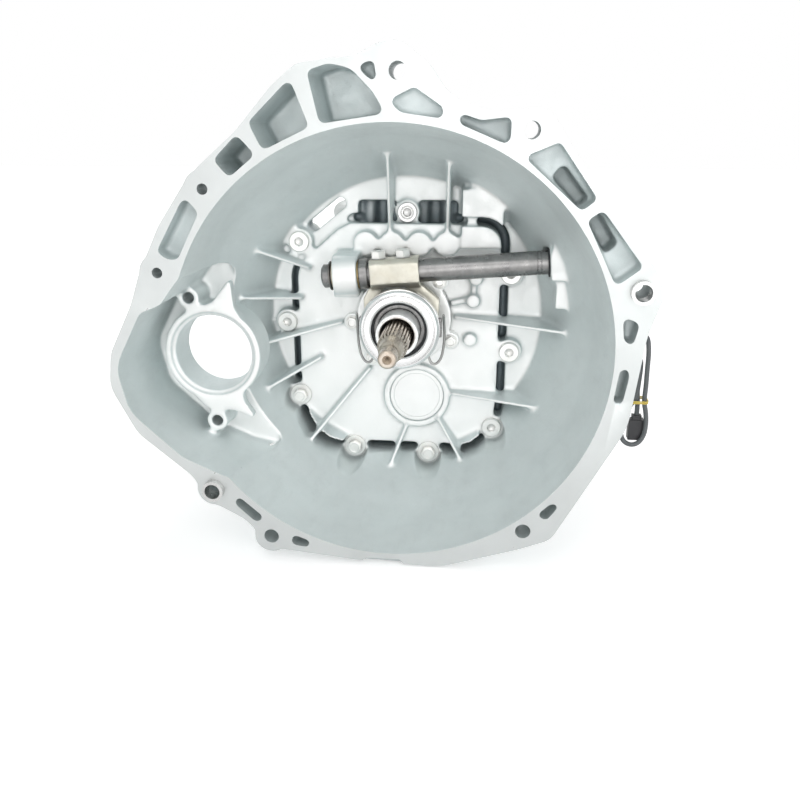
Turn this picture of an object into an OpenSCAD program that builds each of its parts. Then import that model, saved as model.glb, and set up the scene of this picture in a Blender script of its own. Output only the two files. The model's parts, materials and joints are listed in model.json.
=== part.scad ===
// Five-speed manual transmission for a front engine and rear drive.
// Frame: +Y runs back along the input shaft, +Z is up, +X is to the right seen from the engine.
// The origin is on the input shaft's axis, in the plane of the bell housing's mating face.

/* [Bell housing] */
// Inner radius of the bell housing's mouth
rim_r = 175; // [150:1:212]
// Depth from the mating face to the back wall of the bell
bell_depth = 150; // [124:1:182]
// Thickness of the bolting flange
flange_t = 22; // [16:1:28]
// Wall of the bell's cone
bell_wall = 8; // [6:0.5:10]
// Radius of the holes for the engine bolts
engine_bolt_r = 6.5; // [5.5:0.5:7.5]
// Radius of the two small bolt holes beside the starter
small_bolt_r = 4.5; // [3.5:0.5:5]
// Radius of the starter motor's register
starter_r = 34; // [28:0.5:41]
// Thickness of the cooling webs inside the bell
web_t = 3; // [2:0.5:4]

/* [Gear case] */
// Length of the main case behind the bell housing
case_len = 235; // [220:1:290]
// Wall of the main case and the extension
case_wall = 8; // [6:0.5:9]
// Length of the gear chamber in the extension housing
chamber_len = 115; // [108:1:140]
// Length of the tail behind that chamber
tail_len = 110; // [90:1:140]

/* [Shafts and bearings] */
// Radius of the input shaft's pilot
pilot_r = 7.5; // [6:0.25:9]
// Outer radius of the clutch splines
spline_r = 12.5; // [10.5:0.25:13.5]
// Number of clutch splines
splines = 24; // [18:1:28]
// Distance that the pilot stands out of the mating face
pilot_out = 12; // [6:1:24]
// Outer radius of the input shaft's bearing
input_bearing_r = 40; // [36:0.5:44]
// Outer radius of the centre and tail bearings
main_bearing_r = 36; // [33:0.5:38]
// Outer radius of the countershaft's bearings
counter_bearing_r = 31; // [27:0.5:33]
// Radius of the main shaft under its gears
main_r = 20; // [18:0.5:22]
// Radial running clearance of shafts in bores
run_fit = 0.05; // [0.02:0.01:0.1]

/* [Gears] */
// Module of all gears
tooth_m = 3; // [2.75:0.05:3.2]
// Teeth of a gear and of its partner together
teeth_sum = 52; // [50:1:54]
// Width of a gear
gear_w = 22; // [18:1:24]
// Width of a synchroniser sleeve
sleeve_w = 18; // [14:1:18]
// Travel of a sleeve to each side
sleeve_travel = 7; // [5:0.5:7]
// Radius of the shift rails
rail_r = 7; // [5.5:0.5:8]

/* [Clutch release] */
// Outer radius of the release bearing
release_r = 36; // [32:0.5:40]
// Radius of the retainer snout that the bearing slides on
snout_r = 18.5; // [17:0.5:21]
// Depth of the release bearing's face
release_y = 82; // [76:1:86]
// Radius of the clutch cross shaft
cross_r = 10.5; // [9:0.5:12]
// Tilt of the cross shaft
cross_tilt = 4.5; // [0:0.1:8]

/* [Output] */
// Radius of the propeller shaft flange
out_flange_r = 52; // [50:1:60]
// Radius of the circle of its bolts
out_bolt_circle = 41; // [38:0.5:42]
// Radius of its bolt holes
out_bolt_r = 5.25; // [4:0.25:6]

/* [Hidden] */
$fn = 64;
eps = 0.01;
hull_fn = 32;

// Stations along the shafts
plate_y = bell_depth - 10;      // front face of the raised bulkhead plate
joint_y = bell_depth + 25;      // bell housing to main case
center_y = joint_y + case_len;  // main case to extension housing
chamber_y = center_y + chamber_len;
tail_y = chamber_y + tail_len;
drive_y = joint_y + 15;         // front face of the input gear
hub_34 = drive_y + 42;
hub_12 = hub_34 + 92;
hub_5r = center_y + 52;
hub_reach = 18;                 // hub centre to the face of a gear beside it
dog_w = 8;
hub_w = 14;
dog_r = 29.9;
sleeve_in_r = dog_r + 0.35;
sleeve_out_r = 38;
groove_r = 34;
groove_w = 8.2;

// Shafts across the box, as [x, z]
shaft_gap = tooth_m * teeth_sum / 2;
counter_lean = 9;               // countershaft's lean from straight below the main shaft
counter_at = shaft_gap * [sin(counter_lean), -cos(counter_lean)];
counter_dir = atan2(counter_at.y, counter_at.x);
rail_x = [-35, -11, 14, 39];
rail_z = 69;

// Teeth: the two gears of a pair always add up to teeth_sum
drive_n = round(teeth_sum * 24 / 52);
first_n = round(teeth_sum * 38 / 52);
second_n = round(teeth_sum * 33 / 52);
third_n = round(teeth_sum * 27 / 52);
fifth_n = round(teeth_sum * 22 / 52);
reverse_n = round(teeth_sum * 32 / 52);
counter_reverse_n = 14;
idler_n = 17;

// Reverse idler: it meshes with the countershaft and with the reverse gear
idler_main = tooth_m * (idler_n + reverse_n) / 2;
idler_counter = tooth_m * (idler_n + counter_reverse_n) / 2;
idler_along = (shaft_gap ^ 2 + idler_main ^ 2 - idler_counter ^ 2) / (2 * shaft_gap);
idler_side = sqrt(idler_main ^ 2 - idler_along ^ 2);
idler_at = idler_along * [cos(counter_dir), sin(counter_dir)]
    + idler_side * [sin(counter_dir), -cos(counter_dir)];
idler_pin_r = 8;

// Bulkhead plate and gear chamber: their outline grows with e
plate_left = -101;
plate_right = 88;
plate_top = rail_z + 17;
plate_low = counter_at.y - tooth_m * ((teeth_sum - drive_n) / 2 + 1) - 5;
moat_w = 8;
detent_at = [2, plate_top + 10];
joint_rim = 15;
joint_plate_t = 12;
case_bolt_r = 4;
hex_bolts = [[plate_left - 1, -80], [-49, plate_low - 5], [24, plate_low - 9]];
socket_bolts = [[plate_left + 3, 69], [plate_left - 11, -7], [plate_right - 3, -108],
    [plate_right + 11, -32], [plate_right + 10, 42]];
case_bolts = concat(hex_bolts, socket_bolts);
tail_left = -74;
tail_right = 68;
tail_bolts = [[plate_left + 3, 69], [plate_left - 11, -7], [plate_left - 2, -80],
    [tail_left - 2, plate_low - 1], [0, plate_low - 21], [tail_right + 4, plate_low - 4],
    [plate_right + 11, -32], [plate_right + 10, 42]];

// Bell housing, in polar form: [angle, distance beyond the rim, corner radius]
knee_y = 65;
knee_r = rim_r - 10;
back_r = 128;
back_t = 10;
FLANGE = [[88, 55, 15], [82, 40, 20], [77, 22, 30], [68, 20, 50], [62, 32, 12], [58, 42, 14],
    [53, 34, 12], [37, 24, 60], [20, 36, 24], [14, 38, 16], [6, 23, 40], [344, 21, 60],
    [328, 17, 40], [311, 30, 16], [303, 22, 20], [283, 15, 60], [262, 9, 80], [240, 26, 16],
    [230, 18, 30], [221, 27, 14], [213, 25, 30], [199, 48, 30], [188, 58, 26], [181, 52, 30],
    [170, 34, 20], [163, 31, 14], [151, 28, 40], [138, 28, 16], [124, 27, 60], [113, 41, 20],
    [107, 49, 16], [96, 45, 20], [92, 52, 15]];
ENGINE_BOLTS = [[88, 34], [58.6, 23], [16, 23], [307, 10], [238, 17], [219, 17]];
SMALL_BOLTS = [[161, 17], [138, 14]];
DOWEL_AT = [2, 5];              // engine bolts that pass through a dowel sleeve
dowel_r = 9;
dowel_in = 8;
starter_at = [-163, -20];
starter_face = 62;
starter_floor = 92;
starter_ring_r = starter_r + 9;
starter_bolts = [[-181, 30], [-163, -82]];
function bulge(e) = [[158, -14, 5], [161, 1 + e, 3], [168.5, 11 + e, 8], [171.5, 27 + e, 8],
    [184, 50 + e, 30], [194, 48 + e, 30], [208, 23 + e, 30], [218, 2 + e, 20], [226, -16, 5]];

// Pockets of the flange: [depth, outline]
deep_pocket = 56;
mid_pocket = 40;
low_pocket = 17;
POCKETS = [
    [deep_pocket, [[105.5, 42, 4], [101, 43, 12], [97, 37, 16], [93, 20, 20], [90.5, 5, 4], [106, 5, 4]]],
    [deep_pocket, [[109, 41, 4], [108.5, 5, 4], [121, 5, 4], [120.5, 27, 4]]],
    [deep_pocket, [[124, 25, 4], [123, 5.5, 4], [131.5, 5, 4], [131.5, 22, 4]]],
    [12, [[96, 38, 2], [92.4, 42, 2], [92.4, 34, 3], [90, 14, 2], [94, 30, 6]]],
    [low_pocket, [[142, 22, 4], [143, 6, 5], [156, 4.5, 5], [157, 12, 6], [156.5, 22, 4]]],
    [10, [[84.5, 24, 3], [78, 14, 3], [77, 6, 4], [87, 6, 4], [90, 14, 4]]],
    [15, [[74.5, 6, 3], [74.5, 13, 3], [69, 13, 12], [63.5, 24, 3], [61.5, 10, 3], [62, 5.5, 4]]],
    [low_pocket, [[57, 5, 3], [55, 14, 10], [52.5, 28, 3], [38.5, 20, 3], [38.5, 6, 4]]],
    [mid_pocket, [[48.5, 6, 3], [48.5, 19, 3], [39, 16, 3], [39, 6, 3]]],
    [low_pocket, [[36, 5.5, 3], [36, 19, 4], [21, 28, 3], [19.5, 12, 8], [19, 5, 3]]],
    [mid_pocket, [[35.5, 6, 3], [35.5, 17, 3], [27, 18, 3], [26, 6, 3]]],
    [low_pocket, [[11.5, 6, 3], [9, 18, 4], [3.5, 12, 4], [5.5, 5.5, 3]]],
    [low_pocket, [[0.5, 5, 2], [357, 12, 12], [344, 12, 3], [343.5, 5.5, 3]]],
    [low_pocket, [[340.5, 5.5, 3], [340.5, 12, 3], [323.5, 11, 3], [323.5, 5, 3]]],
    [low_pocket, [[320.5, 5.5, 3], [320.5, 11, 3], [313.5, 14, 3], [312.5, 5, 3]]],
    [low_pocket, [[301.5, 5.5, 3], [301.5, 11, 3], [285, 9, 2], [281, 5, 2]]],
    [low_pocket, [[224, 5.5, 3], [225.5, 13, 4], [233, 14, 4], [233.5, 5.5, 3]]],
    [low_pocket, [[242.5, 5.5, 3], [243.5, 15, 4], [256, 5.5, 1]]]];
boss_r = 14.5;
boss_len = 36;

// Cooling webs: [outer end, inner end, depth of the outer end], ends as [x, z]
WEBS = [
    [[-11, 152], [-13, 76], 96], [[41, 145], [39, 76], 100], [[-134, 66], [-88, 45], 104],
    [[-143, 22], [-96, 17], 102], [[-124, -22], [-57, -5], 116], [[-124, -64], [-79, -40], 112],
    [[-92, -122], [-32, -49], 108], [[-13, -146], [3, -106], 112], [[60, -138], [33, -98], 108],
    [[146, -4], [47, 2], 104], [[127, -76], [46, -73], 106], [[138, 53], [111, 46], 116]];
web_foot = 132;

// Clutch cross shaft, measured along itself from the plane of the input shaft
cross_y = plate_y - 28;
cross_z = 47.5;
cross_from = -72;
// A wider rim pushes the release lever and the lamp lead outwards
narrow_rim = 175;
rim_shift = max(0, rim_r - narrow_rim);
cross_to = 190 + rim_shift;
bracket_s = [-61, -39];
wall_boss_s = [134, 168];
bush_t = 2.5;
hub_s = [-28, 16];
hub_half = 12.5;
hub_corner_r = 15;
fork_x = 29;                    // prongs of the fork, left and right of the input shaft
fork_tip_r = 5;
lever_s = [172 + rim_shift, 184 + rim_shift];
seat_gap = 0.4;

// Release bearing
snout_y = 64;
retainer_y = plate_y - 10;
retainer_r = 44;
RETAINER_BOLTS = [-25, 47, 119, 185, 232];
retainer_pitch = 48.5;
release_w = 14;
carrier_y = release_y + release_w + 0.5;
carrier_plate_t = 6;
carrier_r = 32;
carrier_back = retainer_y - 8;

// Countershaft's front boss
ring_r = 31.5;
cap_r = 26;

// ---- Helpers -------------------------------------------------------------

// Point in the XZ plane from [angle, distance beyond the rim]
function polar(p) = (rim_r + p[1]) * [cos(p[0]), sin(p[0])];

// Rounded corner at b between a and c, as points on an arc
function corner(a, b, c, r, n = 6) =
    let (u = (a - b) / norm(a - b), v = (c - b) / norm(c - b),
         half = acos(u * v) / 2,
         reach = min(r / tan(half), norm(a - b) * 0.48, norm(c - b) * 0.48),
         arc_r = reach * tan(half),
         mid = b + (u + v) / norm(u + v) * arc_r / sin(half),
         from = b + u * reach - mid, to = b + v * reach - mid,
         start = atan2(from.y, from.x), turn = atan2(to.y, to.x) - start,
         sweep = turn > 180 ? turn - 360 : turn < -180 ? turn + 360 : turn)
    [for (i = [0:n]) mid + arc_r * [cos(start + sweep * i / n), sin(start + sweep * i / n)]];

// Closed outline with a radius at each corner: [x, z, radius]
function rounded(p) = let (n = len(p)) [for (i = [0:n - 1])
    each corner([p[(i + n - 1) % n].x, p[(i + n - 1) % n].y], [p[i].x, p[i].y],
                [p[(i + 1) % n].x, p[(i + 1) % n].y], p[i].z)];

// The same from polar points: [angle, distance beyond the rim, radius]
function rounded_polar(p) = rounded([for (q = p) [polar(q).x, polar(q).y, q[2]]]);

function plate(e) = rounded([[plate_left - e, 46, 26], [plate_left - e, plate_low - e, 56 + e],
    [plate_right + e, plate_low - e, 44 + e], [plate_right + e, plate_top + e, 18 + e],
    [-50, plate_top + e, 8], [-62 - 0.2 * e, plate_top - 6 + 0.3 * e, 8]]);

// Extrusion of an XZ outline from y, to y + len
module along_y(y, len) translate([0, y + len, 0]) rotate([90, 0, 0]) linear_extrude(len) children();

// Round bar along Y
module rod(y, len, r) translate([0, y, 0]) rotate([-90, 0, 0]) cylinder(h = len, r = r);

// Ring along Y
module ring(y, len, r_out, r_in) difference() {
    rod(y, len, r_out);
    rod(y - 1, len + 2, r_in);
}

// Solid of revolution about Y from [radius, y] points
module lathe(p) rotate([-90, 0, 0]) rotate_extrude() polygon(p);

// Moves a piece to a point [x, z]
module at(p) translate([p.x, 0, p.y]) children();

// Hexagon prism along Y, measured across its flats
module hex_rod(y, len, flats) translate([0, y, 0]) rotate([-90, 0, 0])
    cylinder(h = len, r = flats / sqrt(3), $fn = 6);

// Bolt along +Y whose head stands in front of y
module bolt(y, len, r, flats, washer_r, head = 6, washer = 2) {
    rod(y - washer, len + washer, r);
    rod(y - washer, washer, washer_r);
    hex_rod(y - washer - head, head + eps, flats);
}

// Screw along +Y with a socket in its round head
module socket_screw(y, len, r, head_r, head = 5) difference() {
    union() {
        rod(y - eps, len + eps, r);
        rod(y - head, head, head_r);
    }
    hex_rod(y - head - 1, head * 0.7 + 1, head_r * 0.8);
}

module on_cross() translate([0, cross_y, cross_z]) rotate([0, -cross_tilt, 0]) children();

// Round bar along the cross shaft
module cross_rod(from, to, r) on_cross() translate([from, 0, 0]) rotate([0, 90, 0])
    cylinder(h = to - from, r = r);

// Tooth flanks: angle from a tooth's middle to its flank at radius r
pressure = 20;
backlash = 0.35;
function inv(a) = tan(a) * 180 / PI - a;
function flank(n, r) = let (pitch = n * tooth_m / 2, base = pitch * cos(pressure))
    90 / n - backlash / pitch * 90 / PI + inv(pressure) - inv(acos(min(1, base / max(r, base))));
function gear_outline(n, mid) =
    let (pitch = n * tooth_m / 2, tip = pitch + tooth_m, root = pitch - 1.25 * tooth_m,
         radii = [root, pitch, tip])
    [for (t = [0:n - 1]) each concat(
        [for (r = radii) let (a = mid + 360 * t / n - flank(n, r)) r * [cos(a), sin(a)]],
        [for (i = [2:-1:0]) let (a = mid + 360 * t / n + flank(n, radii[i]))
            radii[i] * [cos(a), sin(a)]])];

// Gear along Y with the middle of one tooth at angle mid
module gear(y, len, n, mid) along_y(y, len) polygon(gear_outline(n, mid));

// Angle of a gap toward the countershaft, and of its partner's tooth
function gap_at(n, dir) = dir + 180 / n;
module counter_gear(y, n) at(counter_at) gear(y, gear_w, n, counter_dir + 180);

// Ball bearing along Y: outer ring, balls and inner ring
module ball_bearing(y, w, r_out, r_in, balls) {
    mid = (r_out + r_in) / 2;
    ball = (r_out - r_in) * 0.27;
    difference() {
        ring(y, w, r_out, mid + ball * 0.5);
        translate([0, y + w / 2, 0]) rotate([-90, 0, 0]) rotate_extrude()
            translate([mid, 0]) circle(r = ball + 0.1);
    }
    difference() {
        ring(y, w, mid - ball * 0.5, r_in);
        translate([0, y + w / 2, 0]) rotate([-90, 0, 0]) rotate_extrude()
            translate([mid, 0]) circle(r = ball + 0.1);
    }
    for (i = [0:balls - 1]) rotate([0, 360 * i / balls, 0])
        translate([mid, y + w / 2, 0]) sphere(r = ball, $fn = 32);
}

// Bar of round wire through a list of points, with round ends
module wire(p, r) for (i = [0:len(p) - 2]) let (d = p[i + 1] - p[i]) {
    translate(p[i]) rotate([0, acos(d.z / norm(d)), atan2(d.y, d.x)]) cylinder(h = norm(d), r = r, $fn = 16);
    translate(p[i]) sphere(r = r * 1.12, $fn = 16);
    if (i == len(p) - 2) translate(p[i + 1]) sphere(r = r * 1.12, $fn = 16);
}

// ---- Castings ------------------------------------------------------------

module joint_flange(y, len, bolts = case_bolts) {
    along_y(y, len) polygon(plate(joint_rim));
    for (b = bolts) at(b) rod(y, len, 13);
}

module bell_solid() {
    along_y(0, flange_t) polygon(rounded_polar(FLANGE));
    along_y(0, deep_pocket + 6) polygon(rounded_polar([[107.5, 47, 10], [100, 47, 14], [95.5, 38, 16],
        [90, 12, 10], [90, -6, 2], [133, -6, 2], [134, 26, 6], [124, 27, 10], [113, 39, 10]]));
    along_y(0, mid_pocket + 6) polygon(rounded_polar([[50.5, -4, 2], [50.5, 25, 6], [38, 23, 10],
        [26, 24, 6], [24.5, -4, 2]]));
    lathe([[0, eps], [rim_r + bell_wall, eps], [knee_r + bell_wall, knee_y],
        [back_r + bell_wall, bell_depth], [back_r + bell_wall, bell_depth + back_t],
        [0, bell_depth + back_t]]);
    along_y(flange_t, starter_floor + 10 - flange_t) polygon(rounded_polar(bulge(7)));
    along_y(bell_depth - 50, joint_y - bell_depth + 50) polygon(plate(joint_rim));
    joint_flange(bell_depth, joint_y - bell_depth);
    for (b = case_bolts) at(b) rod(knee_y + 25, joint_y - knee_y - 25, 18);
    translate([-54, bell_depth, plate_top - 20]) cube([112, joint_y - bell_depth, 50]);
    for (p = concat(ENGINE_BOLTS, SMALL_BOLTS)) at(polar(p)) rod(0, boss_len, boss_r);
    for (b = starter_bolts) at(b) rod(starter_floor - 10, 20, 12);
    cross_rod(wall_boss_s[0] + 6, wall_boss_s[1], cross_r + bush_t + 7);
}

module bell_hollow() {
    difference() {
        lathe([[0, -1], [rim_r + 0.15, -1], [knee_r, knee_y], [back_r, bell_depth], [0, bell_depth]]);
        along_y(plate_y, 100) polygon(plate(0));
        for (x = rail_x) at([x, rail_z]) rod(bell_depth - 22, 60, rail_r + 4);
        translate([52, bell_depth - 24, rail_z - 3]) cube([37, 60, 52]);
    }
    along_y(-1, starter_floor + 1) polygon(rounded_polar(bulge(-0.5)));
    for (p = POCKETS) along_y(-1, p[0] + 1) polygon(rounded_polar(p[1]));
    // Moat around the bulkhead plate, and the way in for the wrench at its lower bolts
    difference() {
        along_y(knee_y, joint_y - 12 - knee_y) polygon(plate(moat_w));
        along_y(0, 300) polygon(plate(0));
    }
    for (b = case_bolts) at(b) rod(knee_y, plate_y - knee_y, 13);
    // Recess above the shift rails, and the slot beside it
    translate([-44, bell_depth - 1, plate_top - 12]) cube([92, 19, 32]);
    along_y(bell_depth - 20, 60) polygon(rounded([[-94, 83, 4.5], [-60, 110, 4.5],
        [-53, 102, 4.5], [-87, 75, 4.5]]));
    // Gear chamber behind the plate
    along_y(bell_depth, 100) polygon(plate(-case_wall + 1));
}

// Space inside the bell, to the middle of its wall
module bell_core() lathe([[0, 0], [rim_r + 4, 0], [knee_r + 4, knee_y], [back_r + 4, bell_depth],
    [back_r + 4, bell_depth + 4], [0, bell_depth + 4]]);

module bell_inside() {
    // Bearing seats in the chamber
    rod(plate_y, joint_y - plate_y, input_bearing_r + 7);
    at(counter_at) rod(plate_y, joint_y - plate_y, counter_bearing_r + 6);
    for (x = rail_x) at([x, rail_z]) rod(bell_depth - 22, 30, rail_r + 4);
    for (b = case_bolts) at(b) rod(plate_y, joint_y - plate_y, 11.7);
    // Columns in the recess
    for (x = rail_x) translate([x, bell_depth + 17, plate_top - 12]) cylinder(h = 36, r = 7.5);
    at(detent_at) rod(bell_depth - 4, 23, 11);
    // Ring in front of the countershaft
    at(counter_at) ring(plate_y - 5, 6, ring_r, cap_r);
    // Small round bosses and the ribs between them
    for (p = [[64, 17], [66, 38], [62, -20]]) at(p) rod(plate_y - 8, 9, 6);
    translate([62.5, plate_y - 4, 17]) cube([4, 5, 21]);
    translate([44, plate_y - 4, 12]) rotate([0, -14, 0]) cube([20, 5, 4]);
    // Starter register
    at(starter_at) rod(starter_face, starter_floor + 6 - starter_face, starter_ring_r);
    for (b = starter_bolts) at(b) rod(starter_face, starter_floor + 4 - starter_face, 9.5);
    along_y(starter_face, 10) polygon(rounded([[-190, 12, 2], [-178, 20, 12], [-160, 27, 8],
        [-143, 48, 2], [-141, 22, 14], [-122, -10, 30], [-126, -40, 20], [-140, -58, 12],
        [-126, -80, 2], [-146, -72, 14], [-172, -70, 8], [-190, -50, 20]]));
    // Bearing bracket and wall boss of the clutch cross shaft
    cross_rod(bracket_s[0], bracket_s[1], cross_r + bush_t + 5);
    translate([bracket_s[0], cross_y - 6, 24]) cube([bracket_s[1] - bracket_s[0], plate_y + 4 - cross_y + 6, 38]);
    intersection() {
        bell_core();
        union() {
            translate([131, cross_y - 17, 44]) cube([40, 46, 38]);
            translate([136, cross_y - 10, 18]) cube([40, 46, 24]);
            cross_rod(wall_boss_s[0] - 4, wall_boss_s[1], cross_r + bush_t + 5);
        }
    }
    intersection() {
        bell_core();
        for (w = WEBS) web(w);
    }
}

// Cooling web from the cone's wall to the bulkhead plate
module web(w) let (d = w[1] - w[0], len = norm(d)) translate([w[0].x, 0, w[0].y])
    rotate([0, -atan2(d.y, d.x), 0]) translate([0, 0, -web_t / 2]) linear_extrude(web_t)
        polygon([[-8, w[2] - 2], [0, w[2]], [len, web_foot], [len, plate_y + 2], [-8, bell_depth + 4]]);

module bell_housing() color("silver") difference() {
    union() {
        difference() {
            bell_solid();
            bell_hollow();
        }
        bell_inside();
    }
    for (p = ENGINE_BOLTS) at(polar(p)) rod(-1, boss_len + 2, engine_bolt_r);
    for (i = DOWEL_AT) at(polar(ENGINE_BOLTS[i])) rod(-1, dowel_in + 1, dowel_r);
    for (p = SMALL_BOLTS) at(polar(p)) rod(-1, boss_len + 2, small_bolt_r);
    rod(plate_y - 1, 60, input_bearing_r);
    rod(bell_depth - 60, 52, retainer_r + 0.5);
    at(counter_at) rod(bell_depth - 3, 60, counter_bearing_r);
    at(counter_at) rod(plate_y - 6, 20, cap_r);
    for (x = rail_x) at([x, rail_z]) rod(plate_y - 5, 60, rail_r + run_fit);
    for (b = case_bolts) at(b) rod(plate_y - 1, 60, case_bolt_r + 0.5);
    for (a = RETAINER_BOLTS) rotate([0, -a, 0]) translate([retainer_pitch, 0, 0]) rod(plate_y - 50, 50, 9.5);
    for (a = RETAINER_BOLTS) rotate([0, -a, 0]) translate([retainer_pitch, 0, 0]) rod(plate_y - 1, 9, 3);
    at(detent_at) rod(bell_depth - 5, 16, 7);
    at(starter_at) rod(starter_face - 1, 60, starter_r);
    at(starter_at) rod(starter_face - 1, 5, starter_r + 4);
    for (b = starter_bolts) at(b) rod(starter_face, 60, 5);
    cross_rod(bracket_s[0] - 1, bracket_s[1] + 1, cross_r + bush_t);
    cross_rod(wall_boss_s[0] - 30, wall_boss_s[1] + 5, cross_r + bush_t);
    // Flat for a wrench in the flange's lower edge
    translate([-23, -1, -rim_r - 12]) cube([34, 4, 8]);
}

// Section of the main case, and the narrower one of the extension
module case_section(y, len, e) along_y(y, len) polygon(plate(e));
function tail_plate(e) = rounded([[tail_left - e, plate_low - e, 50 + e],
    [tail_right + e, plate_low - e, 44 + e], [tail_right + e, plate_top + e, 24 + e],
    [tail_left - e, plate_top + e, 40 + e]]);

module main_case() color("silver") {
    wall_y = center_y - 28;
    difference() {
        union() {
            joint_flange(joint_y, joint_plate_t);
            for (b = case_bolts) at(b) rod(joint_y, 26, 9);
            case_section(joint_y, case_len, case_wall - 4);
            joint_flange(center_y - joint_plate_t, joint_plate_t, tail_bolts);
            for (b = tail_bolts) at(b) rod(center_y - 28, 28, 9);
            for (z = [-70, -25, 20]) {
                translate([plate_left - 8, joint_y, z]) cube([16, case_len, 4]);
                translate([plate_right - 8, joint_y, z]) cube([16, case_len, 4]);
            }
            for (y = [60, 120, 180]) along_y(joint_y + y, 5) polygon(plate(9));
            translate([plate_right - 2, joint_y + 65, -50]) rotate([0, 90, 0]) cylinder(h = 14, r = 15);
            translate([plate_left - 12, joint_y + 90, -35]) rotate([0, 90, 0]) cylinder(h = 14, r = 15);
            translate([-10, joint_y + 95, plate_low - 12]) cylinder(h = 14, r = 16);
            translate([-20, joint_y + 40, plate_top]) cylinder(h = 14, r = 10);
        }
        case_section(joint_y - 1, wall_y - joint_y + 1, -4);
        rod(wall_y - 1, 40, main_bearing_r);
        at(counter_at) rod(wall_y - 1, 40, counter_bearing_r);
        for (x = rail_x) at([x, rail_z]) rod(wall_y - 1, 40, rail_r + run_fit);
        for (b = case_bolts) at(b) rod(joint_y - 1, 21, case_bolt_r);
        for (b = tail_bolts) at(b) rod(center_y - 21, 22, case_bolt_r);
        translate([0, joint_y + 65, -50]) rotate([0, 90, 0]) cylinder(h = 150, r = 8);
        translate([-150, joint_y + 90, -35]) rotate([0, 90, 0]) cylinder(h = 150, r = 9);
        translate([-10, joint_y + 95, plate_low - 30]) cylinder(h = 60, r = 9);
        translate([-20, joint_y + 40, 30]) cylinder(h = 90, r = 4);
    }
}

tail_r = main_bearing_r + 9;
sensor_y = chamber_y + 58;
sensor_seat = tail_r + 15;
pad_y = chamber_y + 62;
pad_half = 30;
pad_z = -tail_r - 55;
pad_t = 20;
pad_bolt_r = 5;
tower_y = hub_5r + 30;
tower_at = [rail_x[3], tower_y];
tower_half = 34;
tower_z = plate_top + case_wall + 8;
cap_t = 8;

module extension_housing() color("silver") difference() {
    union() {
        joint_flange(center_y, joint_plate_t, tail_bolts);
        along_y(center_y, chamber_len) polygon(tail_plate(case_wall));
        for (z = [-75, -25, 25]) translate([tail_left - case_wall - 5, center_y, z])
            cube([tail_right - tail_left + 2 * case_wall + 10, chamber_len - 20, 4]);
        hull() {
            along_y(chamber_y - 1, 2) polygon(tail_plate(case_wall - 2));
            rod(chamber_y + 60, 2, tail_r, $fn = hull_fn);
        }
        rod(chamber_y, tail_len, tail_r);
        rod(tail_y - 12, 12, tail_r + 5);
        for (a = [45, 135, 225, 315]) rotate([0, a, 0]) translate([0, chamber_y + 40, -3])
            cube([tail_r + 6, tail_len - 46, 6]);
        translate([-pad_half - 14, pad_y - pad_half - 14, pad_z])
            cube([2 * pad_half + 28, 2 * pad_half + 28, pad_t]);
        translate([-pad_half + 8, pad_y - pad_half - 4, pad_z])
            cube([2 * pad_half - 16, 2 * pad_half + 8, -pad_z - 30]);
        translate([tower_at.x - tower_half, tower_at.y - tower_half, plate_top - 20])
            cube([2 * tower_half, 2 * tower_half, tower_z - plate_top + 20]);
        translate([0, sensor_y, 0]) rotate([0, 60, 0]) cylinder(h = sensor_seat, r = 13);
    }
    along_y(center_y - 1, chamber_len + 1) polygon(tail_plate(0));
    hull() {
        along_y(chamber_y - 1, 1) polygon(tail_plate(-6));
        rod(chamber_y + 50, 2, tail_r - 9, $fn = hull_fn);
    }
    rod(chamber_y, tail_len - 42, tail_r - 9);
    rod(tail_y - 43, 28, main_bearing_r);
    rod(tail_y - 20, 30, main_r + 6);
    for (b = tail_bolts) at(b) rod(center_y - 1, joint_plate_t + 2, case_bolt_r + 0.5);
    for (x = [-1, 1], y = [-1, 1]) translate([x * pad_half, pad_y + y * pad_half, pad_z - 1])
        cylinder(h = pad_t - 1, r = pad_bolt_r);
    translate([tower_at.x, tower_at.y, 0]) cylinder(h = 200, r = 22);
    for (x = [-1, 1], y = [-1, 1]) translate([tower_at.x + x * 26, tower_at.y + y * 26, tower_z - 17])
        cylinder(h = 18, r = 3);
    translate([0, sensor_y, 0]) rotate([0, 60, 0]) cylinder(h = 80, r = 8);
}

module bearing_retainer() color("lightgray") difference() {
    union() {
        lathe([[0, snout_y], [snout_r, snout_y], [snout_r, retainer_y - 7], [snout_r + 8, retainer_y],
            [retainer_r, retainer_y], [retainer_r, plate_y], [input_bearing_r - run_fit, plate_y],
            [input_bearing_r - run_fit, bell_depth + 2], [0, bell_depth + 2]]);
        for (a = RETAINER_BOLTS) rotate([0, -a, 0]) translate([retainer_pitch, 0, 0])
            rod(retainer_y, plate_y - retainer_y, 8);
    }
    rod(snout_y - 1, 100, spline_r + 2.5);
    rod(bell_depth - 9, 30, input_bearing_r - 7);
    rod(bell_depth - 15, 30, spline_r + 10);
    for (a = RETAINER_BOLTS) rotate([0, -a, 0]) translate([retainer_pitch, 0, 0])
        rod(retainer_y - 1, 30, 3.25);
}

// ---- Fasteners and small parts -------------------------------------------

module retainer_bolts() color("dimgray") for (a = RETAINER_BOLTS) rotate([0, -a, 0])
    translate([retainer_pitch, 0, 0]) bolt(retainer_y, 17, 3, 9, 6.5, 3.6, 1);

module housing_bolts() color("dimgray") for (b = hex_bolts) at(b)
    bolt(plate_y, joint_y + 18 - plate_y, case_bolt_r, 12, 10.5, 6, 2.5);

module housing_screws() color("gray") for (b = socket_bolts) at(b)
    socket_screw(plate_y, joint_y + 18 - plate_y, case_bolt_r, 9.5, 4);

module extension_bolts() color("dimgray") for (b = tail_bolts) at(b)
    mirror([0, 1, 0]) bolt(-(center_y + joint_plate_t), joint_plate_t + 18, case_bolt_r, 12, 9, 6, 2);

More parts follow.
